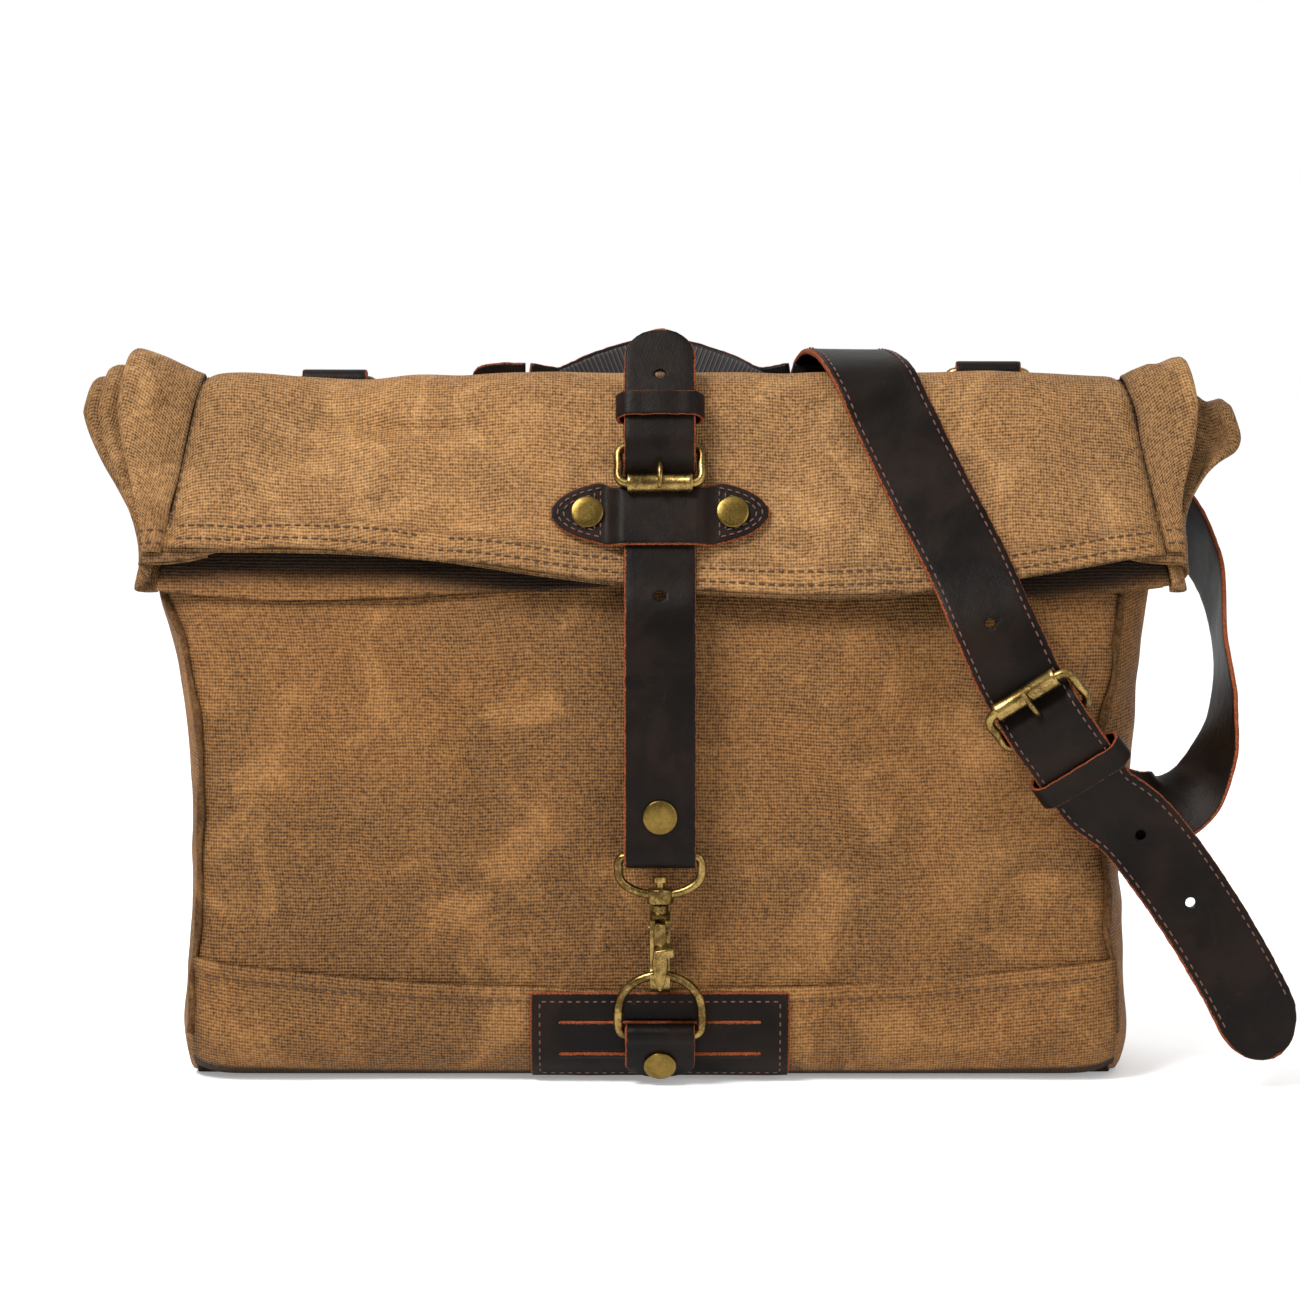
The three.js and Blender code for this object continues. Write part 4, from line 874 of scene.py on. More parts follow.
def outer_surface(u, v):
    """The outer layer, u from left to right, v from the back, over the fold, to the hem."""
    x = lerp(flap_edge(-1, 0), flap_edge(1, 0), u)
    s = lerp(-ARC, hem_length(x), v)
    x = lerp(flap_edge(-1, s), flap_edge(1, s), u)
    edge = np.minimum(u, 1 - u) * 390
    droop = ease(s, -5, 60)
    soft = 1 - np.exp(-((np.maximum(edge, 0) / 14) ** 2))
    lumps = 3.0 * ripple(x, s, 42, 91) + 1.7 * ripple(x + s * 0.6, s, 21, 92)
    held = 1 - 0.85 * np.exp(-((x / 46) ** 4)) - 0.6 * np.exp(-(((x - 95 - s * 0.35) / 24) ** 4))
    folds = 1.8 * creases(
        x,
        s,
        [
            (-175, 10, -110, 60, 8, 1.6),
            (-60, 20, -100, 70, 8, -1.2),
            (60, 15, 90, 70, 9, 1.6),
            (150, 5, 175, 60, 9, 1.3),
            (-140, 5, -70, 12, 5, -2.2),
            (110, 8, 160, 22, 6, -1.4),
        ],
    )
    dip = -3.6 * np.exp(-(((x + 118) / 38) ** 2)) - 1.6 * np.exp(-(((x - 175) / 30) ** 2))
    top = np.exp(-(((s + 12) / 16) ** 2))
    turn = -3.2 * np.exp(-((np.maximum(edge, 0) / 3.2) ** 1.3))
    from_hem = hem_length(x) - s
    hem = (0.9 * (1 - ease(from_hem, 9.5, 11.5))
           + 0.25 * ripple(x, from_hem * 0.3, 4.2, 95) * np.exp(-from_hem / 9))
    stitched = (-0.5 * np.exp(-(((from_hem - 3.2) / 1.0) ** 2))
                - 0.5 * np.exp(-(((from_hem - 8.6) / 1.0) ** 2)))
    o = (soft * held * (lumps * lerp(0.6, 1, droop) + folds * ease(s, -4, 12))
         + dip * top + turn + hem + stitched)
    return fold_point(x, s, o - 0.4)


u_flap, v_flap = places(140, 260)
x_flap = lerp(-195.0, 195.0, u_flap)
to_hem = hem_length(x_flap) - lerp(-ARC, hem_length(x_flap), v_flap)
to_side = np.minimum(u_flap, 1 - u_flap) * 390
# Painted shade on the outer flap: darker at its side seams, in the crease along the top of the hem and at the
# hem's edge.
flap_painted_shade = (0.5 * np.exp(-to_side / 1.6) + 0.28 * np.exp(-(((to_hem - 11.2) / 0.9) ** 2))
             + 0.3 * np.exp(-to_hem / 0.8))
flap_points = grid(lambda u, v: outer_surface(1 - u, v), 140, 260)
outer = cloth_sheet("flap_canvas_outer", flap_points, 1.4, FLAP_CANVAS, flap_painted_shade[:, ::-1])


def hem_ply(name, surface_of, length_of, back, behind, material):
    """The turned-up ply of a hem, a little longer than the one that covers it."""

    def surface(u, v):
        x = lerp(flap_edge(-1, 60.0), flap_edge(1, 60.0), 1 - u)
        s = length_of(x) + lerp(-10.0, back, v)
        wave = 0.5 * ripple(x, s * 0.2, 16, 97)
        return fold_point(x, s, surface_of(x) - behind + wave)

    # Painted shade: the ply is darker towards its lower edge, below the hem that covers it.
    return cloth_sheet(name, grid(surface, 8, 230), 1.0, material, 0.35 * places(8, 230)[1] ** 3)


outer_ply = hem_ply("flap_hem_ply", lambda x: 0.0, hem_length, 1.3, 2.2, FLAP_CANVAS)


def inner_length(x):
    """Length of the inner layer below the fold."""
    return smooth_table(x, [-205, -150, -60, 0, 60, 150, 205], [74, 79, 76, 73, 74, 78, 72])


def inner_surface(u, v):
    """The inner layer, behind the outer one: it hangs lower at both sides."""
    x = lerp(flap_edge(-1, 0), flap_edge(1, 0), u)
    s = lerp(-2, inner_length(x), v)
    x = lerp(flap_edge(-1, s), flap_edge(1, s), u)
    lumps = 0.9 * ripple(x, s, 40, 101) + 0.4 * ripple(x, s, 17, 102)
    from_hem = inner_length(x) - s
    hem = (0.7 * (1 - ease(from_hem, 9.5, 11.5))
           + 0.2 * ripple(x, from_hem * 0.3, 4.2, 105) * np.exp(-from_hem / 9))
    belly = 0.6 * np.sin(np.clip(u, 0, 1) * math.pi)
    return fold_point(x, s, -LAYER_GAP + 0.6 + lumps * ease(s, 5, 30) + hem * 0.6 - belly)


u_in, v_in = places(70, 200)
x_in = lerp(195.0, -195.0, u_in)
# Painted shadow of the outer hem: the inner layer is near black just below the hem, fading lower down.
below_hem = lerp(-2, inner_length(x_in), v_in) - hem_length(x_in)
inner_painted_shadow = 0.96 * (1 - ease(below_hem, 3, 16))
inner = cloth_sheet("flap_canvas_inner", grid(lambda u, v: inner_surface(1 - u, v), 70, 200), 1.4,
                    BODY_CANVAS, inner_painted_shadow)
inner_ply = hem_ply("inner_hem_ply", lambda x: -LAYER_GAP - 1.4, inner_length, 1.0, 1.9, BODY_CANVAS)


def inner_fold_surface(u, v):
    """The inner layer where it bends over, down to the front wall."""
    x = lerp(flap_edge(-1, 0), flap_edge(1, 0), u)
    angle = lerp(math.pi - FLAP_SLOPE + 0.1, -math.radians(25), v)
    y = FOLD_Y + 5 * np.cos(angle)
    z = FOLD_Z + 5 * np.sin(angle)
    return np.stack([x * np.ones_like(v), y, z], axis=-1)


inner_fold = cloth_sheet("fold_canvas_inner", grid(inner_fold_surface, 24, 40), 1.3, BODY_CANVAS)

# The pleated ears: each section is (across from the flap's seam, outwards) at the fold and at the hem.
EAR_TOP = {
    "left": [
        (0, -1.2), (8, 0.2), (20, 1.6), (27.5, 1.4), (29, -0.4), (26, -2.8), (23, -5.4), (28, -6.6),
        (35, -5.4), (37.6, -6.6), (35, -8.6), (30, -9.8), (36, -10.6), (42.5, -10.4), (44, -12),
        (39, -14), (18, -13), (0, -12),
    ],
    "right": [
        (0, -1.2), (7, 0.2), (16, 1.4), (23, 1.4), (24.6, 0.2), (24, -1.6), (17, -4), (11.5, -8),
        (21, -12), (28, -12.6), (35, -10.4), (40, -6.6), (42.6, -6.4), (43, -8.4), (39, -12.6),
        (29, -15), (14, -14.5), (0, -12),
    ],
}
EAR_HEM = {
    "left": [
        (0, -1.2), (2, 0.2), (4, 0.4), (6, 0.1), (7, -1.2), (5, -2.6), (3, -3.2), (5, -4.4),
        (7.2, -4.8), (8, -6), (6, -7.2), (3.5, -7.8), (5, -9), (7.6, -9.4), (8.2, -10.8),
        (6, -12.2), (3, -12.6), (0, -12),
    ],
    "right": [
        (0, -1.2), (2, 0.2), (4, 0.4), (6, 0.2), (7, -1), (6.4, -2), (4, -2.8), (0.4, -4),
        (4.4, -5.4), (6, -5.8), (7.6, -6.2), (8, -7.4), (7, -8.6), (0.8, -9), (6, -10.4), (5, -12),
        (3, -12.6), (0, -12),
    ],
}
EAR_LENGTH = 64.0


def ear_surface(label, side):
    top = Track([((a, b, 0), (0, 0, 1)) for a, b in EAR_TOP[label]])
    hem = Track([((a, b, 0), (0, 0, 1)) for a, b in EAR_HEM[label]])

    def surface(u, v):
        foot = lerp(63.0, 76.0, ease(np.clip(u, 0, 1), 0.3, 0.8))
        s = lerp(-ARC * 0.98, foot, v)
        wide = top.at(np.clip(u, 0, 1))[0]
        narrow = hem.at(np.clip(u, 0, 1))[0]
        share = ease(s, 2, EAR_LENGTH) if label == "left" else ease(s, -2, EAR_LENGTH * 0.84)
        share = lerp(np.clip((s - 2) / EAR_LENGTH, 0, 1), share, 0.35 if label == "left" else 0.7)
        across = lerp(wide[..., 0], narrow[..., 0], share)
        out = lerp(wide[..., 1], narrow[..., 1], share)
        rise = 9.0 if label == "left" else 6.0
        stand = np.clip(across / 27, 0, 1) * rise * np.exp(-(((s + 16) / 22) ** 2))
        rough = 0.8 * ripple(across * 2 + out * 3, s, 13, 111 + side)
        x = flap_edge(side, s) + side * (across + 0.5 * rough)
        point = fold_point(x, s, out + stand + rough - 0.2)
        hang = 0.0 if label == "left" else 12.0
        point[..., 2] -= hang * np.clip((across - 24) / 18, 0, 1) ** 1.2 * (1 - ease(s, 5, 45))
        return point

    return surface


ears = {}
for label, side in (("left", -1), ("right", 1)):
    shape = ear_surface(label, side)
    turn = (lambda u, v, f=shape: f(1 - u, v)) if side < 0 else shape
    u_ear, v_ear = places(100, 170)
    u_ear = 1 - u_ear if side < 0 else u_ear
    deep = -np.interp(u_ear, np.linspace(0, 1, 18), [b for _, b in EAR_TOP[label]])
    # Painted shade on the ears: darker along the flap's seam, in the deeper hollows of the pleats and at the
    # hem.
    dark = 0.5 * np.exp(-u_ear / 0.012) + 0.035 * np.clip(deep - 1.5, 0, 12) + 0.2 * ease(v_ear, 0.96, 1)
    ear_points = grid(turn, 100, 170)
    ears[label] = cloth_sheet(
        f"ear_canvas_{label}", ear_points, 1.3, FLAP_CANVAS, np.clip(dark, 0, 0.8),
        anchor=1.0 if side < 0 else 0.0
    )


def hem_lip(label, side):
    """Where the gusset's hem is folded between the two layers: a flat loop under the flap's corner."""
    length = 30 if side < 0 else 40
    outline = [(length, -3.0), (8, -2.6), (0, -3.0), (-1.6, -4.4), (0, -5.8), (10, -6.4), (length - 6, -6.2)]
    track = Track([((a, b, 0), (0, 0, 1)) for a, b in outline])

    def surface(u, v):
        at = track.at(np.clip(u, 0, 1))[0]
        s = lerp(46.0, 66.5 - 0.02 * at[..., 0] * np.abs(at[..., 0]) / 4, v)
        x = flap_edge(side, 60.0) + side * (6.5 - at[..., 0])
        return fold_point(x, s, at[..., 1] + 0.4 * ripple(at[..., 0], s, 9, 141))

    turn = (lambda u, v: surface(1 - u, v)) if side > 0 else surface
    # Painted shade: the lip lies between the two layers and is darkened throughout, more towards its foot.
    return cloth_sheet(f"hem_lip_{label}", grid(turn, 24, 60), 1.2, FLAP_CANVAS,
                       0.25 + 0.2 * places(24, 60)[1])

BEND_FROM = tuple(fold_point(np.array(0.0), np.array(-ARC), 0.0) * MM)
BEND_TO = tuple(fold_point(np.array(0.0), np.array(0.0), 0.0) * MM)


def bends(made, nodes=()):
    """The piece lies over the fold, from the bag's body to the flap: its place goes into its mesh and the CAD
    nodes it stands for are hidden.
    """
    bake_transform(made)
    if nodes:
        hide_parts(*nodes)
    return made


bends(outer, ["flap_outer", "fold_outer"])
belongs(inner, "flap", ["flap_inner"])
belongs(outer_ply, "flap")
belongs(inner_ply, "flap")
for label, side in (("left", -1), ("right", 1)):
    belongs(hem_lip(label, side), "flap")
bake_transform(inner_fold)
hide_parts("fold_inner")
for label in ("left", "right"):
    bends(ears[label], [f"fold_gusset_{label}", f"flap_gusset_{label}"])
for label, side in (("left", -1), ("right", 1)):
    for k, back in enumerate((3.2, 8.6)):
        u_here = np.linspace(0.01, 0.24, 60)
        v_here = np.full(60, (63 - back + ARC * 0.98) / (63 + ARC * 0.98))
        row = surface_stitches(f"ear_stitches_{label}_{k}", ear_surface(label, side), u_here, v_here,
                               THREAD_DARK,
                               lift=-0.9 * side, radius=0.38)
        belongs(row, "flap")

span = np.linspace(0.012, 0.988, 900)
for k, back in enumerate((3.2, 8.6)):
    x_here = lerp(flap_edge(-1, 60.0), flap_edge(1, 60.0), span)
    share = 1 - back / (hem_length(x_here) + ARC)
    row = surface_stitches(f"hem_stitches_{k}", outer_surface, span, share, THREAD_DARK, lift=-1.0,
                           radius=0.38)
    belongs(row, "flap")
for k, u_here in enumerate((0.005, 0.995)):
    v_here = np.linspace(0.02, 0.93, 300)
    line = surface_stitches(f"flap_seam_stitches_{k}", outer_surface, np.full(300, u_here), v_here,
                            THREAD_DARK, lift=-0.8)
    bends(line)

# ---------- rivets ----------
def rivet(name, point, normal, body, node, radius=6.5):
    """A rivet's cap: a disc with a bevelled rim and a slightly domed, rubbed face."""
    bpy.ops.object.select_all(action="DESELECT")
    bpy.ops.mesh.primitive_cylinder_add(vertices=48, radius=radius * MM, depth=1.5 * MM)
    cap = bpy.context.object
    cap.name = name
    bpy.ops.object.mode_set(mode="EDIT")
    bpy.ops.mesh.select_all(action="DESELECT")
    bpy.ops.object.mode_set(mode="OBJECT")
    for face in cap.data.polygons:
        face.select = face.normal.z > 0.9
    bpy.ops.object.mode_set(mode="EDIT")
    bpy.ops.mesh.inset(thickness=0.9 * MM)
    bpy.ops.transform.translate(value=(0, 0, 0.28 * MM))
    bpy.ops.mesh.inset(thickness=2.6 * MM)
    bpy.ops.transform.translate(value=(0, 0, 0.12 * MM))
    bpy.ops.object.mode_set(mode="OBJECT")
    rim = cap.modifiers.new("rim", "BEVEL")
    rim.width = 0.25 * MM
    rim.segments = 3
    rim.limit_method = "ANGLE"
    rim.angle_limit = math.radians(25)
    apply_modifiers(cap)
    bpy.ops.object.shade_smooth_by_angle(angle=math.radians(35))
    settle_place(cap)
    cap.data.materials.append(CAP_BRASS)
    up = unit(normal)
    aside = vec(1, 0, 0) if abs(up[0]) < 0.9 else vec(0, 0, 1)
    moved(cap, basis(np.cross(up, aside), up), np.asarray(point) + up * 0.75)
    belongs(cap, body, [node])
    return cap


# ---------- closure strap, bridge and buckle ----------
def flap_at(x, s, o):
    return fold_point(np.array(float(x)), np.array(float(s)), o)


CLOSURE_WIDTH = 28.5
FLAP_FACE = 0.8
BUCKLE_S = 29.4
closure_origin = flap_at(0, BUCKLE_S, FLAP_FACE)
FLAP_UP = -FLAP_DOWN
CLOSURE = np.stack([vec(1, 0, 0), FLAP_UP, FLAP_OUT], axis=1)


def framed(origin, axes, stations):
    """Stations given along and up from a buckle's own frame, in the bag's frame."""
    return [(origin + axes @ vec(0, t, h), axes @ vec(0, lean, face)) for t, h, lean, face in stations]


def round_end(full, share):
    """A strap's width with a round end over the last share of its length."""

    def width(b):
        past = np.clip((b - (1 - share)) / share, 0, 1)
        return full * np.maximum(0.12, np.sqrt(1 - past**2))

    return width


def over_heel(reach, lift):
    places = [(-2, 1.75, -0.1), (2.5, 2.3, -0.4), (7, 5.3, -0.9), (12, 9.9, -0.6), (16.5, 11.7, -0.1),
              (22, 11.9, 0)]
    return [(t - reach, h + lift, lean, 1) for t, h, lean in places]


closure_up = framed(
    closure_origin,
    CLOSURE,
    [(-36, 1.7, 0, 1), (-22, 1.7, 0, 1), *over_heel(8, 0), (30, 11.4, 0.05, 1), (44, 9.2, 0.05, 1),
     (57, 7.4, 0, 1)],
)
upper, _, _ = strap("closure_strap_upper_leather", closure_up,
                                       round_end(CLOSURE_WIDTH, 0.13), 2.4, seed=21)
punch(upper, [(closure_origin + CLOSURE @ vec(0, 37, 10.5), FLAP_OUT)])
belongs(upper, "flap", ["closure_strap_upper"])


def buckle(name, body, origin, axes, inner_width, reach, roller_up, heel_up, roller_length, bodies):
    """A roller buckle: a flattened wire frame, a rolled tube on its front bar, a tongue on its back one."""
    half = inner_width / 2 + 1.9
    level = lambda t: lerp(roller_up, heel_up, (t + reach) / (2 * reach))
    corner = [(0, -1), (0.5, -1), (0.86, -0.97), (0.99, -0.72), (1, 0), (0.99, 0.72), (0.86, 0.97),
              (0.5, 1), (0, 1)]
    loop = corner + [(-a, b) for a, b in corner[-2:0:-1]]
    points = [origin + axes @ vec(a * half, b * reach, level(b * reach)) for a, b in loop]
    ring = wire(f"{name}_frame_brass", np.array(points), 1.9, closed=True)
    belongs(ring, body, [f"{name}_buckle_frame"])
    # The roller: thin rolled sheet, its ends open and its edges rounded.
    length = roller_length / 2
    profile = [(2.5, -length + 0.2), (3.0, -length), (3.7, -length), (3.95, -length + 0.35),
               (3.95, -length + 1.6), (3.8, -length + 2.0), (3.8, length - 2.0), (3.95, length - 1.6),
               (3.95, length - 0.35), (3.7, length), (3.0, length), (2.5, length - 0.2)]
    sides = 28
    angle = np.arange(sides) * 2 * math.pi / sides
    rings = [[(x, r * math.cos(a), r * math.sin(a)) for a in angle] for r, x in profile]
    verts = np.array(rings).reshape(-1, 3)
    ids = np.arange(len(profile) * sides).reshape(len(profile), sides)
    nxt = np.roll(ids, -1, axis=1)
    after, after_next = np.roll(ids, -1, axis=0), np.roll(nxt, -1, axis=0)
    faces = np.stack([ids, nxt, after_next, after], axis=-1).reshape(-1, 4)
    centre = origin + axes @ vec(0, -reach, roller_up)
    roller = make(f"{name}_roller_brass", verts @ axes.T + centre, faces.tolist(), BRASS)
    check_outward(roller)
    select_only(roller)
    bpy.ops.object.shade_smooth_by_angle(angle=math.radians(40))
    belongs(roller, bodies[0], [f"{name}_buckle_roller"])
    # The tongue: bent wire, thinner and flatter to its tip, with an eye round the heel bar.
    heel = origin + axes @ vec(0, reach, heel_up)
    eye = [heel + axes @ (vec(0, math.cos(a), math.sin(a)) * 3.2)
           for a in np.radians([-70, -20, 30, 80, 130, 165])]
    path = [*eye, heel + axes @ vec(0, -6.5, 2.2), centre + axes @ vec(0, 6, 4.4),
            centre + axes @ vec(0, 0, 5.4),
            centre + axes @ vec(0, -3.4, 4.4)]
    prong = wire(f"{name}_tongue_brass", np.array(path), lambda b: lerp(1.25, 0.85, ease(b, 0.75, 1.0)),
                 step=0.6)
    belongs(prong, bodies[1], [f"{name}_buckle_tongue"])


buckle("closure", "flap", closure_origin, CLOSURE, 29.4, 8, 7.6, 5.6, 26,
       ("closure_roller", "closure_tongue"))


def chape_path(reach, heel_up, top_length, below):
    turn = 3.4
    around = [(reach + turn * math.cos(a), heel_up + turn * math.sin(a), math.cos(a), math.sin(a))
              for a in np.radians([90, 135, 180, 225, 270])]
    top = [(reach + top_length, heel_up + turn - 1.4, 0, 1), (reach + 6, heel_up + turn, 0, 1)]
    return [*top, *around, *[(t, h, 0, -1) for t, h in below]]


chape, _, _ = strap(
    "closure_chape_leather",
    framed(closure_origin, CLOSURE, chape_path(8, 5.6, 20, [(14, 3.2), (29, 3.7), (38, 1.7)])),
    CLOSURE_WIDTH - 1,
    2.0,
    seed=23,
)
belongs(chape, "flap", ["closure_chape"])


def keeper(name, origin, axes, centre, width, height, length, body, bulge=1.2):
    """A leather loop round the straps, its ends butted behind."""
    half_w, half_h = width / 2 + 0.9, height / 2 + 0.9
    outline = [(0, -1), (0.7, -1), (1, -0.7), (1, 0.2), (0.82, 0.95), (0.4, 1.05), (0, 1.1), (-0.4, 1.05),
               (-0.82, 0.95),
               (-1, 0.2), (-1, -0.7), (-0.7, -1), (-0.02, -1)]
    stations = []
    for a, b in outline:
        point = origin + axes @ (centre + vec(a * (half_w + bulge * (b > 0)), 0, b * half_h))
        stations.append((point, axes @ vec(a * 0.9, 0, b)))
    band, track, wide = strap(name, stations, length, 1.7, step=1.2, seed=31, wave=0.15)
    belongs(band, body, [name.replace("_leather", "")])
    return band


keeper("closure_keeper_leather", closure_origin, CLOSURE, vec(0, 23.5, 7.95), 29.5, 11.4, 10,
       "closure_keeper")

BRIDGE_HALF = 43.0
BRIDGE_S = 48.0


def bridge_half_length(x):
    out = np.abs(x) / BRIDGE_HALF
    lobe = 14.2 * np.sqrt(np.clip(1 - out**2.4, 0.02, 1))
    return lerp(11.5, lobe, ease(np.abs(x), 16, 26))


def bridge_surface(u, v):
    """The bridge: two lobes sewn flat and a raised middle with the strap beneath."""
    x = (2 * u - 1) * BRIDGE_HALF
    rise = 1.5 + 3.6 * (1 - ease(np.abs(x), 14.5, 22))
    shift = 2.2 * (1 - ease(np.abs(x), 16, 26))
    s = BRIDGE_S + shift + (2 * v - 1) * bridge_half_length(x)
    return fold_point(x, s, FLAP_FACE + rise + 0.15 * ripple(x, s, 9, 121))


bridge_grid = grid(lambda u, v: bridge_surface(1 - u, v), 22, 120)
bridge = cloth_sheet("strap_bridge_leather", bridge_grid, 1.8, LEATHER)
belongs(bridge, "flap", ["strap_bridge"])


def mark_raw_rim(made, rows, cols, depth):
    """Sets the raw edge on a sheet's rim and fades it inwards from the last rings of points."""
    values = np.zeros(len(made.data.vertices), dtype=np.float32)
    count = rows * cols
    values[2 * count:] = 1.0
    i, j = np.meshgrid(np.arange(rows), np.arange(cols), indexing="ij")
    near = np.minimum(np.minimum(i, rows - 1 - i), np.minimum(j, cols - 1 - j)).ravel()
    ring = np.where(near < depth, 0.34, 0.0)
    values[:count] = ring
    values[count:2 * count] = np.maximum(ring, 0.3)
    made.data.attributes["raw_edge"].data.foreach_set("value", values)


mark_raw_rim(bridge, 22, 120, 1)
for side, sign in (("left", -1), ("right", 1)):
    for inset in (2.2, 4.6):
        inner_end = 21.5 + inset
        reach = BRIDGE_HALF - inset
        bow = np.linspace(math.asin((inner_end / reach) ** 1.2), math.pi / 2, 90)
        x = reach * np.sin(bow) ** (1 / 1.2)
        s = (14.2 - inset) * np.cos(bow)
        x, s = np.concatenate([x, x[::-1], x[:1]]), np.concatenate([s, -s[::-1], s[:1]])
        place = fold_point(sign * x, BRIDGE_S + s, FLAP_FACE + 2.62)
        facing = np.broadcast_to(FLAP_OUT, place.shape)
        way = unit(np.gradient(place, axis=0))
        row = stitches(f"bridge_stitches_{side}_{inset}", place, way, facing, THREAD_WINE, length=2.2,
                       gap=1.0, radius=0.34)
        belongs(row, "flap")
    rivet(f"bridge_rivet_cap_{side}", flap_at(sign * 29, BRIDGE_S, FLAP_FACE + 2.4), FLAP_OUT, "flap",
          f"bridge_rivet_{side}")

# The strap below the bridge, down to the snap hook.
HOOK_Y = -61.0
eye_bar = vec(0, HOOK_Y, 95)
EYE_TURN = 1.9 + 0.35 + 1.2
around_eye = [
    (eye_bar + vec(0, math.cos(a), math.sin(a)) * EYE_TURN, vec(0, math.cos(a), math.sin(a)))
    for a in np.radians([180, 225, 270, 315, 360])
]
lower_stations = [
    (flap_at(0, 54, FLAP_FACE + 2.5), FLAP_OUT),
    (flap_at(0, 66, FLAP_FACE + 2.2), FLAP_OUT),
    (flap_at(0, 76, FLAP_FACE + 2.0), FLAP_OUT),
    (vec(0, -60.5, 192), vec(0, -1, 0.2)),
    (vec(0, -63.2, 172), vec(0, -1, 0.05)),
    (vec(0, HOOK_Y - EYE_TURN, 130), vec(0, -1, 0)),
    (vec(0, HOOK_Y - EYE_TURN, 104), vec(0, -1, 0)),
    *around_eye,
    (vec(0, HOOK_Y + EYE_TURN - 0.3, 102), vec(0, 1, 0)),
    (vec(0, HOOK_Y - EYE_TURN + 2.8, 112), vec(0, 1, 0)),
    (vec(0, HOOK_Y - EYE_TURN + 2.8, 124), vec(0, 1, 0)),
]
lower, _, _ = strap("closure_strap_lower_leather", lower_stations, CLOSURE_WIDTH, 2.4,
                                       seed=27)
punch(lower, [(vec(0, -59, 199), vec(0, -1, 0.2))], depth=16)
tuple(flap_at(0, 60, 2) * MM)
tuple(flap_at(0, 72, 2) * MM)
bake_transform(lower)
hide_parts("closure_strap_lower")
rivet("closure_rivet_cap", vec(0, HOOK_Y - EYE_TURN - 1.4, 111.5), vec(0, -1, 0), "closure_strap",
      "closure_strap_rivet", 6.8)


# ---------- rings and the snap hook ----------
def ring_points(bar, up, rise, half=16.6, crown=1.0):
    """A D-ring's wire: a straight bar and an arch."""
    spring = 0.42
    arch = [(max(math.cos(a), 0) ** crown, spring + (1 - spring) * math.sin(a) ** crown)
            for a in np.radians([0, 22, 45, 67, 90])]
    right = [(0.3, 0), (0.8, 0), (0.96, 0.06), *arch]
    loop = right + [(-a, b) for a, b in right[-2::-1]]
    return np.array([bar + vec(a * half, 0, 0) + up * b * rise for a, b in loop])


ring_bar = vec(0, -56.3, 22)
RING_RISE = 25.6
ring_lean = math.asin((ring_bar[1] - HOOK_Y) / RING_RISE)
ring_up = vec(0, -math.sin(ring_lean), math.cos(ring_lean))
front_ring = wire("front_ring_brass", ring_points(ring_bar, ring_up, RING_RISE), 1.85, closed=True)
belongs(front_ring, "front_ring", ["front_ring"])

EYE_DROP = 15.5
eye_ring = wire("hook_eye_brass", ring_points(eye_bar, vec(0, 0, -1), EYE_DROP), 1.8, closed=True)
belongs(eye_ring, "hook_eye", [])


def softened(node, body, width, material, segments=3):
    """A copy of a CAD piece, merged, with its edges rounded."""
    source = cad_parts[node]
    made = bpy.data.objects.new(f"{node}_rounded", source.data.copy())
    bpy.context.scene.collection.objects.link(made)
    made.data.transform(source.matrix_world)
    select_only(made)
    bpy.ops.object.mode_set(mode="EDIT")
    bpy.ops.mesh.select_all(action="SELECT")
    bpy.ops.mesh.remove_doubles(threshold=0.004 * MM)
    bpy.ops.mesh.dissolve_limited(angle_limit=math.radians(2))
    bpy.ops.object.mode_set(mode="OBJECT")
    bevel = made.modifiers.new("edges", "BEVEL")
    bevel.width = width * MM
    bevel.segments = segments
    bevel.limit_method = "ANGLE"
    bevel.angle_limit = math.radians(32)
    apply_modifiers(made)
    bpy.ops.object.shade_smooth_by_angle(angle=math.radians(40))
    made.data.materials.clear()
    made.data.materials.append(material)
    return belongs(made, body, [node])


collar_z = eye_bar[2] - EYE_DROP - 0.5
bpy.ops.object.select_all(action="DESELECT")
bpy.ops.mesh.primitive_cylinder_add(vertices=40, radius=5.2 * MM, depth=6.4 * MM)
collar = bpy.context.object
collar.name = "hook_collar_brass"
collar.scale = (1, 0.78, 1)
settle_place(collar)
rounding = collar.modifiers.new("rounding", "BEVEL")
rounding.width = 0.9 * MM
rounding.segments = 4
apply_modifiers(collar)
bpy.ops.object.shade_smooth_by_angle(angle=math.radians(35))
collar.data.materials.append(BRASS)
moved(collar, np.eye(3), vec(0, HOOK_Y, collar_z))
belongs(collar, "hook_eye", ["hook_eye"])
softened("hook_body", "hook", 0.5, BRASS)
HOOK_FRONT = HOOK_Y - 8.6


def hook_blade():
    """The lever's blade: a tapered leaf with a ridge down its middle and a point at its foot."""
    rows = [(69.5, 2.4, 2.2), (64, 2.7, 2.6), (60, 2.6, 2.4), (54, 3.2, 2.6), (49, 2.9, 2.5),
            (45, 1.9, 2.0), (42.4, 0.5, 0.7)]
    points = []
    for z, half, deep in rows:
        y = lerp(HOOK_FRONT - 1.4, HOOK_FRONT - 0.6, (69.5 - z) / 27)
        points += [(-half, y + deep * 0.5, z), (-half * 0.9, y - deep * 0.3, z), (0.4, y - deep, z)]
        points += [(half * 0.9, y - deep * 0.3, z), (half, y + deep * 0.5, z), (0, y + deep, z)]
    faces = []
    for k in range(len(rows) - 1):
        for i in range(6):
            j = (i + 1) % 6
            faces.append([k * 6 + i, k * 6 + j, k * 6 + 6 + j, k * 6 + 6 + i])
    faces += [list(range(6))[::-1], [6 * (len(rows) - 1) + i for i in range(6)]]
    blade = make("hook_lever_blade", points, faces, BRASS)
    check_outward(blade)
    return blade


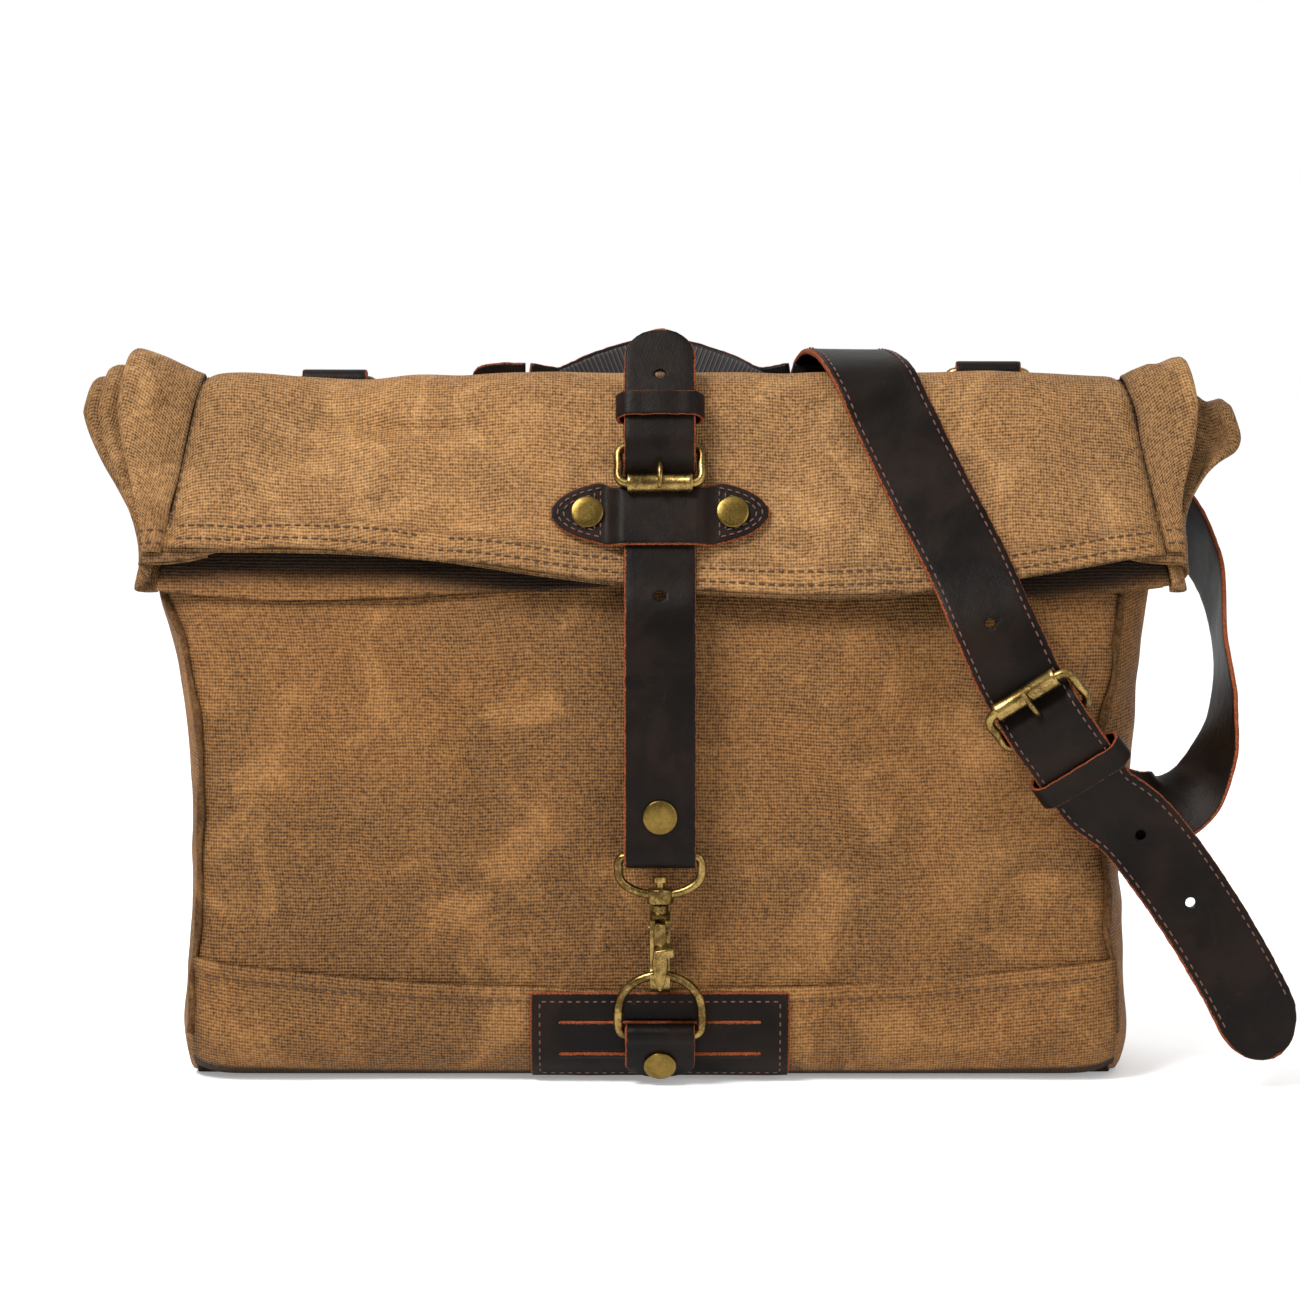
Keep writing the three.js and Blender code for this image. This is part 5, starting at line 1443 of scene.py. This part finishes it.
blade = hook_blade()
bpy.ops.object.select_all(action="DESELECT")
bpy.ops.mesh.primitive_cube_add(size=MM, location=(0.0016, (HOOK_FRONT - 3.4) * MM, 0.0588))
thumb = bpy.context.object
thumb.name = "hook_lever_thumb"
thumb.scale = (7.6, 5.4, 4.2)
thumb.rotation_euler = (math.radians(24), math.radians(-8), 0)
settle_place(thumb)
for part, width in ((blade, 0.35), (thumb, 0.8)):
    rounding = part.modifiers.new("rounding", "BEVEL")
    rounding.width = width * MM
    rounding.segments = 3
    rounding.limit_method = "ANGLE"
    rounding.angle_limit = math.radians(24)
    apply_modifiers(part)
    bpy.ops.object.shade_smooth_by_angle(angle=math.radians(30))
thumb.data.materials.append(BRASS)
belongs(blade, "hook_lever", ["hook_lever"])
belongs(thumb, "hook_lever")

# ---------- the patch, tab and ring at the base ----------
PATCH_WIDTH = 103.0


def boot_front(distance, off):
    """A point on the front of the boot, a distance down from the patch's top, and its normal."""
    straight = 38 - BOOT_CORNER
    angle = np.maximum(0, (distance - straight) / BOOT_CORNER)
    down = np.where(distance < straight, 38 - distance, BOOT_CORNER - (BOOT_CORNER + off) * np.sin(angle))
    y = -BOOT_FLAT - (BOOT_CORNER + off) * np.cos(angle)
    return y, down, -np.cos(angle), -np.sin(angle)


def patch_surface(u, v):
    x = (2 * u - 1) * PATCH_WIDTH / 2
    distance = 0.6 + v * 36.6
    slit = 0.0
    for at in (11.5, 24.0):
        inside = 1 - ease(np.abs(x), 39, 41)
        slit = slit - 1.2 * np.exp(-(((distance - at) / 0.55) ** 2)) * inside
        slit = slit + 0.35 * np.exp(-(((distance - at - 1.3) / 0.8) ** 2)) * inside
    y, z, ny, nz = boot_front(distance, 1.7 + 0.2 * ripple(x, distance, 12, 131))
    return np.stack([x, y + ny * slit, np.maximum(z + nz * slit, 0.8)], axis=-1)


patch_rows, patch_cols = 130, 120
patch_points = grid(lambda u, v: patch_surface(1 - u, v), patch_rows, patch_cols)
patch = cloth_sheet("front_patch_leather", patch_points, 2.0, LEATHER)
mark_raw_rim(patch, patch_rows, patch_cols, 1)
raw = np.empty(len(patch.data.vertices), dtype=np.float32)
patch.data.attributes["raw_edge"].data.foreach_get("value", raw)
u_grid, v_grid = np.meshgrid(np.linspace(0, 1, patch_cols), np.linspace(0, 1, patch_rows))
for at in (11.5, 24.0):
    line = np.exp(-((((0.6 + v_grid * 36.6) - at - 0.7) / 0.6) ** 2)) * (np.abs(2 * u_grid - 1) < 0.79)
    raw[: line.size] = np.maximum(raw[: line.size], 0.9 * line.ravel())
patch.data.attributes["raw_edge"].data.foreach_set("value", raw)
belongs(patch, "bag_body", ["front_patch"])
around_patch = np.array([(0.03, 0.08), (0.97, 0.08), (0.97, 0.93), (0.03, 0.93), (0.03, 0.08)])
for k in range(4):
    (u0, v0), (u1, v1) = around_patch[k], around_patch[k + 1]
    share = np.linspace(0, 1, 200)
    row = surface_stitches(f"patch_stitches_{k}", patch_surface, lerp(u0, u1, share), lerp(v0, v1, share),
                           THREAD_WINE,
                           lift=-1.0, length=2.0, gap=1.4, radius=0.34)
    belongs(row, "bag_body")

TAB_TURN = 3.5
around_bar = [
    (ring_bar + vec(0, math.cos(a), math.sin(a)) * TAB_TURN, vec(0, math.cos(a), math.sin(a)))
    for a in np.radians([0, 45, 90, 135, 180])
]


def boot_station(distance, off, sign):
    y, z, ny, nz = boot_front(np.array(float(distance)), off)
    return (vec(0, float(y), float(z)), vec(0, float(ny), float(nz)) * sign)


tab_stations = [boot_station(27, 3.8, -1), boot_station(22, 3.8, -1), *around_bar]
tab_stations += [boot_station(18, 9.1, 1), boot_station(25, 6.9, 1), boot_station(32, 6.2, 1)]
tab, _, _ = strap("ring_tab_leather", tab_stations, round_end(28, 0.16), 2.0, step=0.8,
                                 seed=35, wave=0.1)
belongs(tab, "bag_body", ["ring_tab"])
rivet_point, rivet_normal = boot_station(25.4, 8.1, 1)
rivet("tab_rivet_cap", rivet_point, rivet_normal, "bag_body", "ring_tab_rivet")

# ---------- handle ----------
HANDLE_WIDTH = 30.0
HANDLE_Y, HANDLE_Z = 25.0, 270.0
END_LIFT = 3.4  # the strap's ends ride up a little
for label, side in (("left", -1), ("right", 1)):
    stations = [
        (vec(side * 55.6, HANDLE_Y + 0.6, HANDLE_Z + END_LIFT), vec(0, 1, 0)),
        (vec(side * 66, HANDLE_Y + 0.2, HANDLE_Z + END_LIFT), vec(0, 1, 0)),
        (vec(side * 78, HANDLE_Y - 0.4, HANDLE_Z + END_LIFT - 2), vec(0, 1, 0)),
    ]
    end, end_track, end_wide = strap(
        f"handle_end_leather_{label}", stations, round_end(HANDLE_WIDTH,
                                                           0.3), 2.4, seed=41, cut_ends=(False, True)
    )
    belongs(end, "bag_body", [f"handle_end_{label}"])
    for k, row in enumerate(strap_stitches(f"handle_end_stitches_{label}", end_track, end_wide, 2.5, 2.4,
                                           end=0.7)):
        belongs(row, "bag_body")
    rivet(f"handle_rivet_cap_{label}", vec(side * 66, HANDLE_Y + 1.7, HANDLE_Z - 5), vec(0, 1, 0), "bag_body",
          f"handle_rivet_{label}")
grip_half = [(55.2, 0.8, END_LIFT, 0), (40, 6.0, 1.5, -0.1), (21, 14, 9, -0.25)]
grip = [(vec(-x, HANDLE_Y + y, HANDLE_Z + z), vec(-0.2, 1, t)) for x, y, z, t in grip_half]
grip += [(vec(0, HANDLE_Y + 17, HANDLE_Z + 14), vec(0, 1, -0.3))]
grip += [(vec(x, HANDLE_Y + y, HANDLE_Z + z), vec(0.2, 1, t)) for x, y, z, t in grip_half[::-1]]
handle, handle_track, handle_wide = strap("handle_leather", grip, HANDLE_WIDTH, 2.6, seed=43,
                                          cut_ends=(False, False))
belongs(handle, "handle", ["handle_strap"])
for row in strap_stitches("handle_stitches", handle_track, handle_wide, 3.0, 2.4):
    belongs(row, "handle")
under_grip = [(point - unit(normal) * 2.7, normal) for point, normal in grip[1:-1]]
lining_strip, _, _ = strap("handle_webbing_strip", under_grip, HANDLE_WIDTH - 4, 1.4, material=WEBBING,
                           seed=44, wave=0.2)
belongs(lining_strip, "handle", ["handle_webbing"])

# ---------- D-rings behind ----------
RING_Y = 30.2
HANG = vec(0, math.sin(math.radians(30)), -math.cos(math.radians(30)))
ring_bars = {"left": vec(-135, RING_Y, 281), "right": vec(136.5, RING_Y, 284.5)}
for label, bar in ring_bars.items():
    ring = wire(f"ring_brass_{label}", ring_points(bar, HANG, 24, crown=0.55), 1.85, closed=True)
    belongs(ring, f"ring_{label}", [f"ring_{label}"])
    turn = 3.35
    around = [
        (bar + vec(0, math.cos(a), math.sin(a)) * turn, vec(0, math.cos(a), math.sin(a)))
        for a in np.radians([180, 135, 90, 45, 0])
    ]
    stations = [
        (vec(bar[0], bar[1] - turn, 257), vec(0, -1, 0)),
        (vec(bar[0], bar[1] - turn, 271), vec(0, -1, 0)),
        *around,
        (vec(bar[0], bar[1] + 1.6, bar[2] - 11), vec(0, 1, 0)),
        (vec(bar[0], bar[1] - turn + 2.7, bar[2] - 22), vec(0, 1, 0)),
        (vec(bar[0], bar[1] - turn + 2.7, 254), vec(0, 1, 0)),
    ]
    loop, _, _ = strap(f"ring_tab_leather_{label}", stations, 27, 2.2, step=0.9, seed=51, wave=0.1)
    belongs(loop, "bag_body", [f"ring_tab_{label}"])
    rivet(f"ring_rivet_cap_{label}", vec(bar[0], bar[1] - turn + 4.3, 258.5), vec(0, 1, 0), "bag_body",
          f"ring_rivet_{label}")

    def ring_patch(u, v, bar=bar):
        z = lerp(226, 281, v)
        low = back_y(z) + 2.1
        high = lerp(back_y(np.full(np.shape(z), 240.0)) + 2.1, 21, (z - 240) / 41)
        x = bar[0] + (0.5 - u) * lerp(56, 42, v)
        return np.stack([x, np.where(z < 240, low, high), z], axis=-1)

    piece = cloth_sheet(f"ring_patch_leather_{label}", grid(ring_patch, 40, 36), 1.6, LEATHER)
    mark_raw_rim(piece, 40, 36, 1)
    belongs(piece, "bag_body", [f"ring_patch_{label}"])
    for k, (u0, v0, u1, v1) in enumerate(((0.06, 0.05, 0.94, 0.05), (0.94, 0.05, 0.94, 0.9),
                                          (0.06, 0.05, 0.06, 0.9))):
        share = np.linspace(0, 1, 120)
        row = surface_stitches(f"ring_patch_stitches_{label}_{k}", ring_patch, lerp(u0, u1, share),
                               lerp(v0, v1, share),
                               THREAD_WINE, lift=0.85)
        belongs(row, "bag_body")

# ---------- shoulder strap ----------
SHOULDER_WIDTH = 33.0
slant, tilt = math.radians(34.7), math.radians(18)
strap_along = vec(math.sin(slant), math.cos(slant) * math.sin(tilt), -math.cos(slant) * math.cos(tilt))
strap_up = vec(0, -math.cos(tilt), -math.sin(tilt))
SHOULDER = basis(strap_along, strap_up)
buckle_at = vec(149, -64.5, 157)
buckle("shoulder", "flap", buckle_at, SHOULDER, 34, 9, 8.5, 5.8, 28, ("shoulder_roller", "shoulder_tongue"))
shoulder_front = [
    (vec(70, 39, 263.6), vec(0, 1, 0.25)),
    (vec(70.6, 34, 280), vec(0, 0.9, 0.5)),
    (vec(74, 20, 291.5), vec(0, 0.3, 1)),
    (vec(79, 3, 292.5), vec(0, -0.1, 1)),
    (vec(83, -14, 289), vec(0, -0.5, 1)),
    (vec(88, -24.5, 281), vec(0, -0.8, 0.6)),
    (flap_at(92.5, 5, FLAP_FACE + 2.2), FLAP_OUT),
    (flap_at(100, 22, FLAP_FACE + 2), FLAP_OUT),
    (flap_at(109, 42, FLAP_FACE + 2.1), FLAP_OUT),
    (flap_at(122, 70, FLAP_FACE + 3.5), FLAP_OUT),
    (vec(132.5, -69, 186), vec(0, -1, 0.35)),
    *framed(buckle_at, SHOULDER, [*over_heel(9, 0.15), (32, 12, 0, 1), (44, 11.5, 0, 1)]),
    (vec(188, -62, 108), vec(0, -1, -0.2)),
    (vec(207, -63, 84), vec(0, -1, 0)),
    (vec(229, -63, 49), vec(0.1, -1, 0)),
    (vec(247, -59, 14), vec(0.2, -1, 0)),
]
front_strap, front_track, front_wide = strap(
    "shoulder_front_leather", shoulder_front, round_end(SHOULDER_WIDTH,
                                                        0.05), 2.8, step=1.5, seed=61, cut_ends=(False, True)
)
punch(front_strap, [(vec(x, -64, z), vec(0, 1, 0)) for x, z in ((130, 189), (191, 104), (211, 77))], depth=34)
bends(front_strap, ["shoulder_strap_front", "shoulder_strap_over_top"])
for row in strap_stitches("shoulder_front_stitches", front_track, front_wide, 2.6, 2.8, end=0.95):
    bends(row)
keeper("shoulder_keeper_leather", buckle_at, SHOULDER, vec(0, 31, 8.3), 35, 12, 10, "shoulder_keeper")

def loop_round(centre, turn, angles):
    """A strap's turn about a ring's wire."""
    ways = [vec(0, math.cos(a), math.sin(a)) for a in np.radians(angles)]
    return [(centre + way * turn, way) for way in ways]


LOOP_TURN = 1.9 + 1.7 + 1.4
left_arc = ring_bars["left"] + HANG * 24
LOOP_RADIUS = 104.0
loop_middle = vec((-135 + 75) / 2, 0, 142)
loop_stations = []
for angle in np.radians([-165, -140, -115, -90, -65, -40, -15]):
    way = vec(math.cos(angle), 0, math.sin(angle))
    turned = math.sin(-angle) ** 2
    point = loop_middle + way * LOOP_RADIUS
    point[1] = lerp(56, 68, turned)
    loop_stations.append((point, vec(way[0] * turned, 1.02 - turned, way[2] * turned)))
shoulder_rear = [
    (vec(left_arc[0], left_arc[1] - 0.8, left_arc[2] - 34), vec(0, -1, 0)),
    (vec(left_arc[0], left_arc[1] - LOOP_TURN + 0.4, left_arc[2] - 14), vec(0, -1, 0)),
    *loop_round(left_arc, LOOP_TURN, [180, 135, 90, 45, 0]),
    (vec(left_arc[0], left_arc[1] + 4.2, left_arc[2] - 16), vec(0, 1, 0)),
    (vec(left_arc[0], left_arc[1] + 8, left_arc[2] - 50), vec(0, 1, 0)),
    *loop_stations,
    (vec(73, 55, 190), vec(0, 1, 0)),
    (vec(70.5, 48.5, 232), vec(0, 1, 0.15)),
    (vec(70, 39.4, 262.9), vec(0, 1, 0.25)),
]
rear, rear_track, rear_wide = strap(
    "shoulder_rear_leather", shoulder_rear, lambda b: lerp(25, SHOULDER_WIDTH,
                                                           ease(b, 0.12, 0.2)), 2.8, step=2.4, seed=63,
    cut_ends=(True, False),
)
belongs(rear, "bag_body", ["shoulder_strap_rear"])
for row in strap_stitches("shoulder_rear_stitches", rear_track, rear_wide, 2.6, 2.8, start=0.16):
    belongs(row, "bag_body")

right_arc = ring_bars["right"] + HANG * 24
shoulder_short = [
    *framed(buckle_at, SHOULDER, chape_path(9, 5.8, 28, [(16, 3.3), (26, 4.8), (38, 5), (46, 4.4)])),
    (vec(191, -54, 113), vec(0.1, 1, 0)),
    (vec(207, -50, 115), vec(0.3, 1, -0.6)),
    (vec(220, -42, 129), vec(0.7, 0.5, -0.8)),
    (vec(227, -34, 152), vec(1, 0.1, -0.4)),
    (vec(227, -24, 176), vec(1, 0, 0)),
    (vec(226, 0, 203), vec(1, 0.4, 0.2)),
    (vec(212, 34, 227), vec(0.8, 1, 0.3)),
    (vec(176, 58, 243), vec(0.2, 1, 0.2)),
    (vec(146, 55, 250), vec(0, 1, 0.2)),
    *[
        (p + vec(shift, 0, 0), n)
        for (p, n), shift in zip(loop_round(right_arc, LOOP_TURN, [0, 45, 90, 135, 180]), (2, 1, 0, 0, 0))
    ],
    (vec(right_arc[0], right_arc[1] - LOOP_TURN + 0.4, right_arc[2] - 14), vec(0, -1, 0)),
    (vec(right_arc[0], right_arc[1] - 2, right_arc[2] - 28), vec(0, -1, 0)),
]
short, _, _ = strap(
    "shoulder_short_leather", shoulder_short, lambda b: lerp(SHOULDER_WIDTH - 2, 25,
                                                             ease(b, 0.72, 0.84)), 2.0, step=1.6, seed=64
)
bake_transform(short)
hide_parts("shoulder_strap_short")

# ---------- inside ----------
softened("base_board", "bag_body", 0.4, BOARD, segments=2)


def lining_ring(u, v):
    """The lining bag, round its four walls, from its floor to its bound top."""
    z = lerp(8.5, 245.0, v)
    low = np.sqrt(np.clip(1 - (np.clip(32 - z, 0, 24) / 24) ** 2, 0, 1))
    narrow = lerp(0.54, 1, low)
    front = (front_y(np.maximum(z, 30)) + 5.5) * narrow
    back = (back_y(np.maximum(z, 30)) - 3.5) * narrow
    angle = u * 2 * math.pi
    ring = lambda value: np.sign(value) * np.abs(value) ** 0.16
    x = 181.0 * ring(np.cos(angle))
    y = lerp(front, back, 0.5 + 0.5 * ring(np.sin(angle)))
    sag = 0.8 * ripple(x + y, z, 31, 151) * (1 - ease(z, 225, 245))
    return np.stack([x * (1 - sag / 200), y - 0.6 * np.sign(y) * np.abs(sag), z], axis=-1)


lining_angles = np.linspace(0, 1, 241)[:-1]
lining_rows = 60
rings = lining_ring(*np.meshgrid(lining_angles, np.linspace(0, 1, lining_rows)))
count = len(lining_angles)
ids = np.arange(lining_rows * count).reshape(lining_rows, count)
nxt = np.roll(ids, -1, axis=1)
lining_faces = np.stack([ids[:-1], nxt[:-1], nxt[1:], ids[1:]], axis=-1).reshape(-1, 4).tolist()
lining_faces.append(ids[0][::-1].tolist())
lining = make("lining_bag", rings.reshape(-1, 3), lining_faces, LINING)
cloth_wall = lining.modifiers.new("cloth", "SOLIDIFY")
cloth_wall.thickness = 0.8 * MM
cloth_wall.offset = -1
apply_modifiers(lining)
belongs(lining, "bag_body", ["lining"])


def padded_slab(name, half, low, high, depth_at, thick, channels):
    """A padded panel: crowned, pinched at its rim and along its sewn channels."""
    u, v = places(90, 120)
    x = (2 * u - 1) * half
    z = lerp(low, high, v)
    rim = np.minimum(half - np.abs(x), np.minimum(z - low, high - z))
    full = np.sqrt(np.clip(rim / 9, 0, 1)) * 0.8 + 0.2
    for channel in channels:
        full = full * (1 - 0.55 * np.exp(-(((x - channel) / 2.5) ** 2)))
    middle = depth_at(z)
    front = np.stack([x, middle - full * thick / 2, z], axis=-1).reshape(-1, 3)
    rear = np.stack([x, middle + full * thick / 2, z], axis=-1).reshape(-1, 3)
    ids = np.arange(90 * 120).reshape(90, 120)
    a, b, c, d = ids[:-1, :-1], ids[:-1, 1:], ids[1:, 1:], ids[1:, :-1]
    near = np.stack([a, b, c, d], axis=-1).reshape(-1, 4)
    border = np.concatenate([ids[0, :-1], ids[:-1, -1], ids[-1, :0:-1], ids[:0:-1, 0]])
    after = np.roll(border, -1)
    sides = np.stack([border, border + ids.size, after + ids.size, after], axis=1)
    made = make(name, np.concatenate([front, rear]),
                np.concatenate([near, near[:, ::-1] + ids.size, sides]), LINING)
    check_outward(made)
    return made


sleeve = padded_slab(
    "laptop_sleeve_pad", 164, 13, 214, lambda z: np.minimum(back_y(np.maximum(z, 40)) - 17, 27), 5.4,
    (-82, 0, 82)
)
belongs(sleeve, "bag_body", ["laptop_sleeve"])


def pocket_surface(u, v):
    """The slip pocket on the front wall's inside, sewn at its sides and foot and a little open at its top."""
    x = (2 * u - 1) * 100
    z = lerp(70, 190, v)
    y = front_y(z) + 9 - 3 * np.abs(2 * u - 1) ** 3 + 0.6 * ripple(x, z, 30, 161)
    return np.stack([x, y, z], axis=-1)


pocket = cloth_sheet("inner_pocket_cloth", grid(lambda u, v: pocket_surface(1 - u, v), 50, 80), 0.9, LINING)
belongs(pocket, "bag_body", ["inner_pocket"])

# ---------- studio ----------
floor_size = 3000
bpy.ops.object.select_all(action="DESELECT")
bpy.ops.mesh.primitive_plane_add(size=floor_size * MM * 4)
floor = bpy.context.object
floor.name = "floor"
floor_shader = Shader("floor_white")
floor_shader.set("Base Color", (0.92, 0.92, 0.92, 1))
floor_shader.set("Emission Color", (1, 1, 1, 1))
floor_shader.set("Emission Strength", 0.27)
floor_shader.set("Roughness", 0.7)
floor.data.materials.append(floor_shader.material)

world = bpy.data.worlds.new("studio")
bpy.context.scene.world = world
room = Shader("studio", "Background", world)
split = room.node("ShaderNodeSeparateXYZ", {}, [room.node("ShaderNodeTexCoord")], output=1)
overhead = Sock(room, split.socket.node.outputs[2])
# A white sweep behind the bag, a large soft overhead, and less light from the front.
room.set("Color", (1, 1, 1, 1))
room.set("Strength", room.between(split, -0.1, 0.6) * 0.64 + 0.36 + room.between(overhead, 0.3, 1.0) * 0.35)


def soft_light(name, place, size, power):
    data = bpy.data.lights.new(name, "AREA")
    data.shape = "SQUARE"
    data.size = size
    data.energy = power
    light = bpy.data.objects.new(name, data)
    bpy.context.scene.collection.objects.link(light)
    light.location = place
    target = type(light.location)((0, 0, 0.15))
    light.rotation_euler = (target - light.location).to_track_quat("-Z", "Y").to_euler()


soft_light("key", (-0.75, -0.95, 1.6), 0.6, 40)
soft_light("fill", (1.3, -1.2, 0.8), 1.0, 9)
bpy.context.scene.view_settings.view_transform = "Standard"
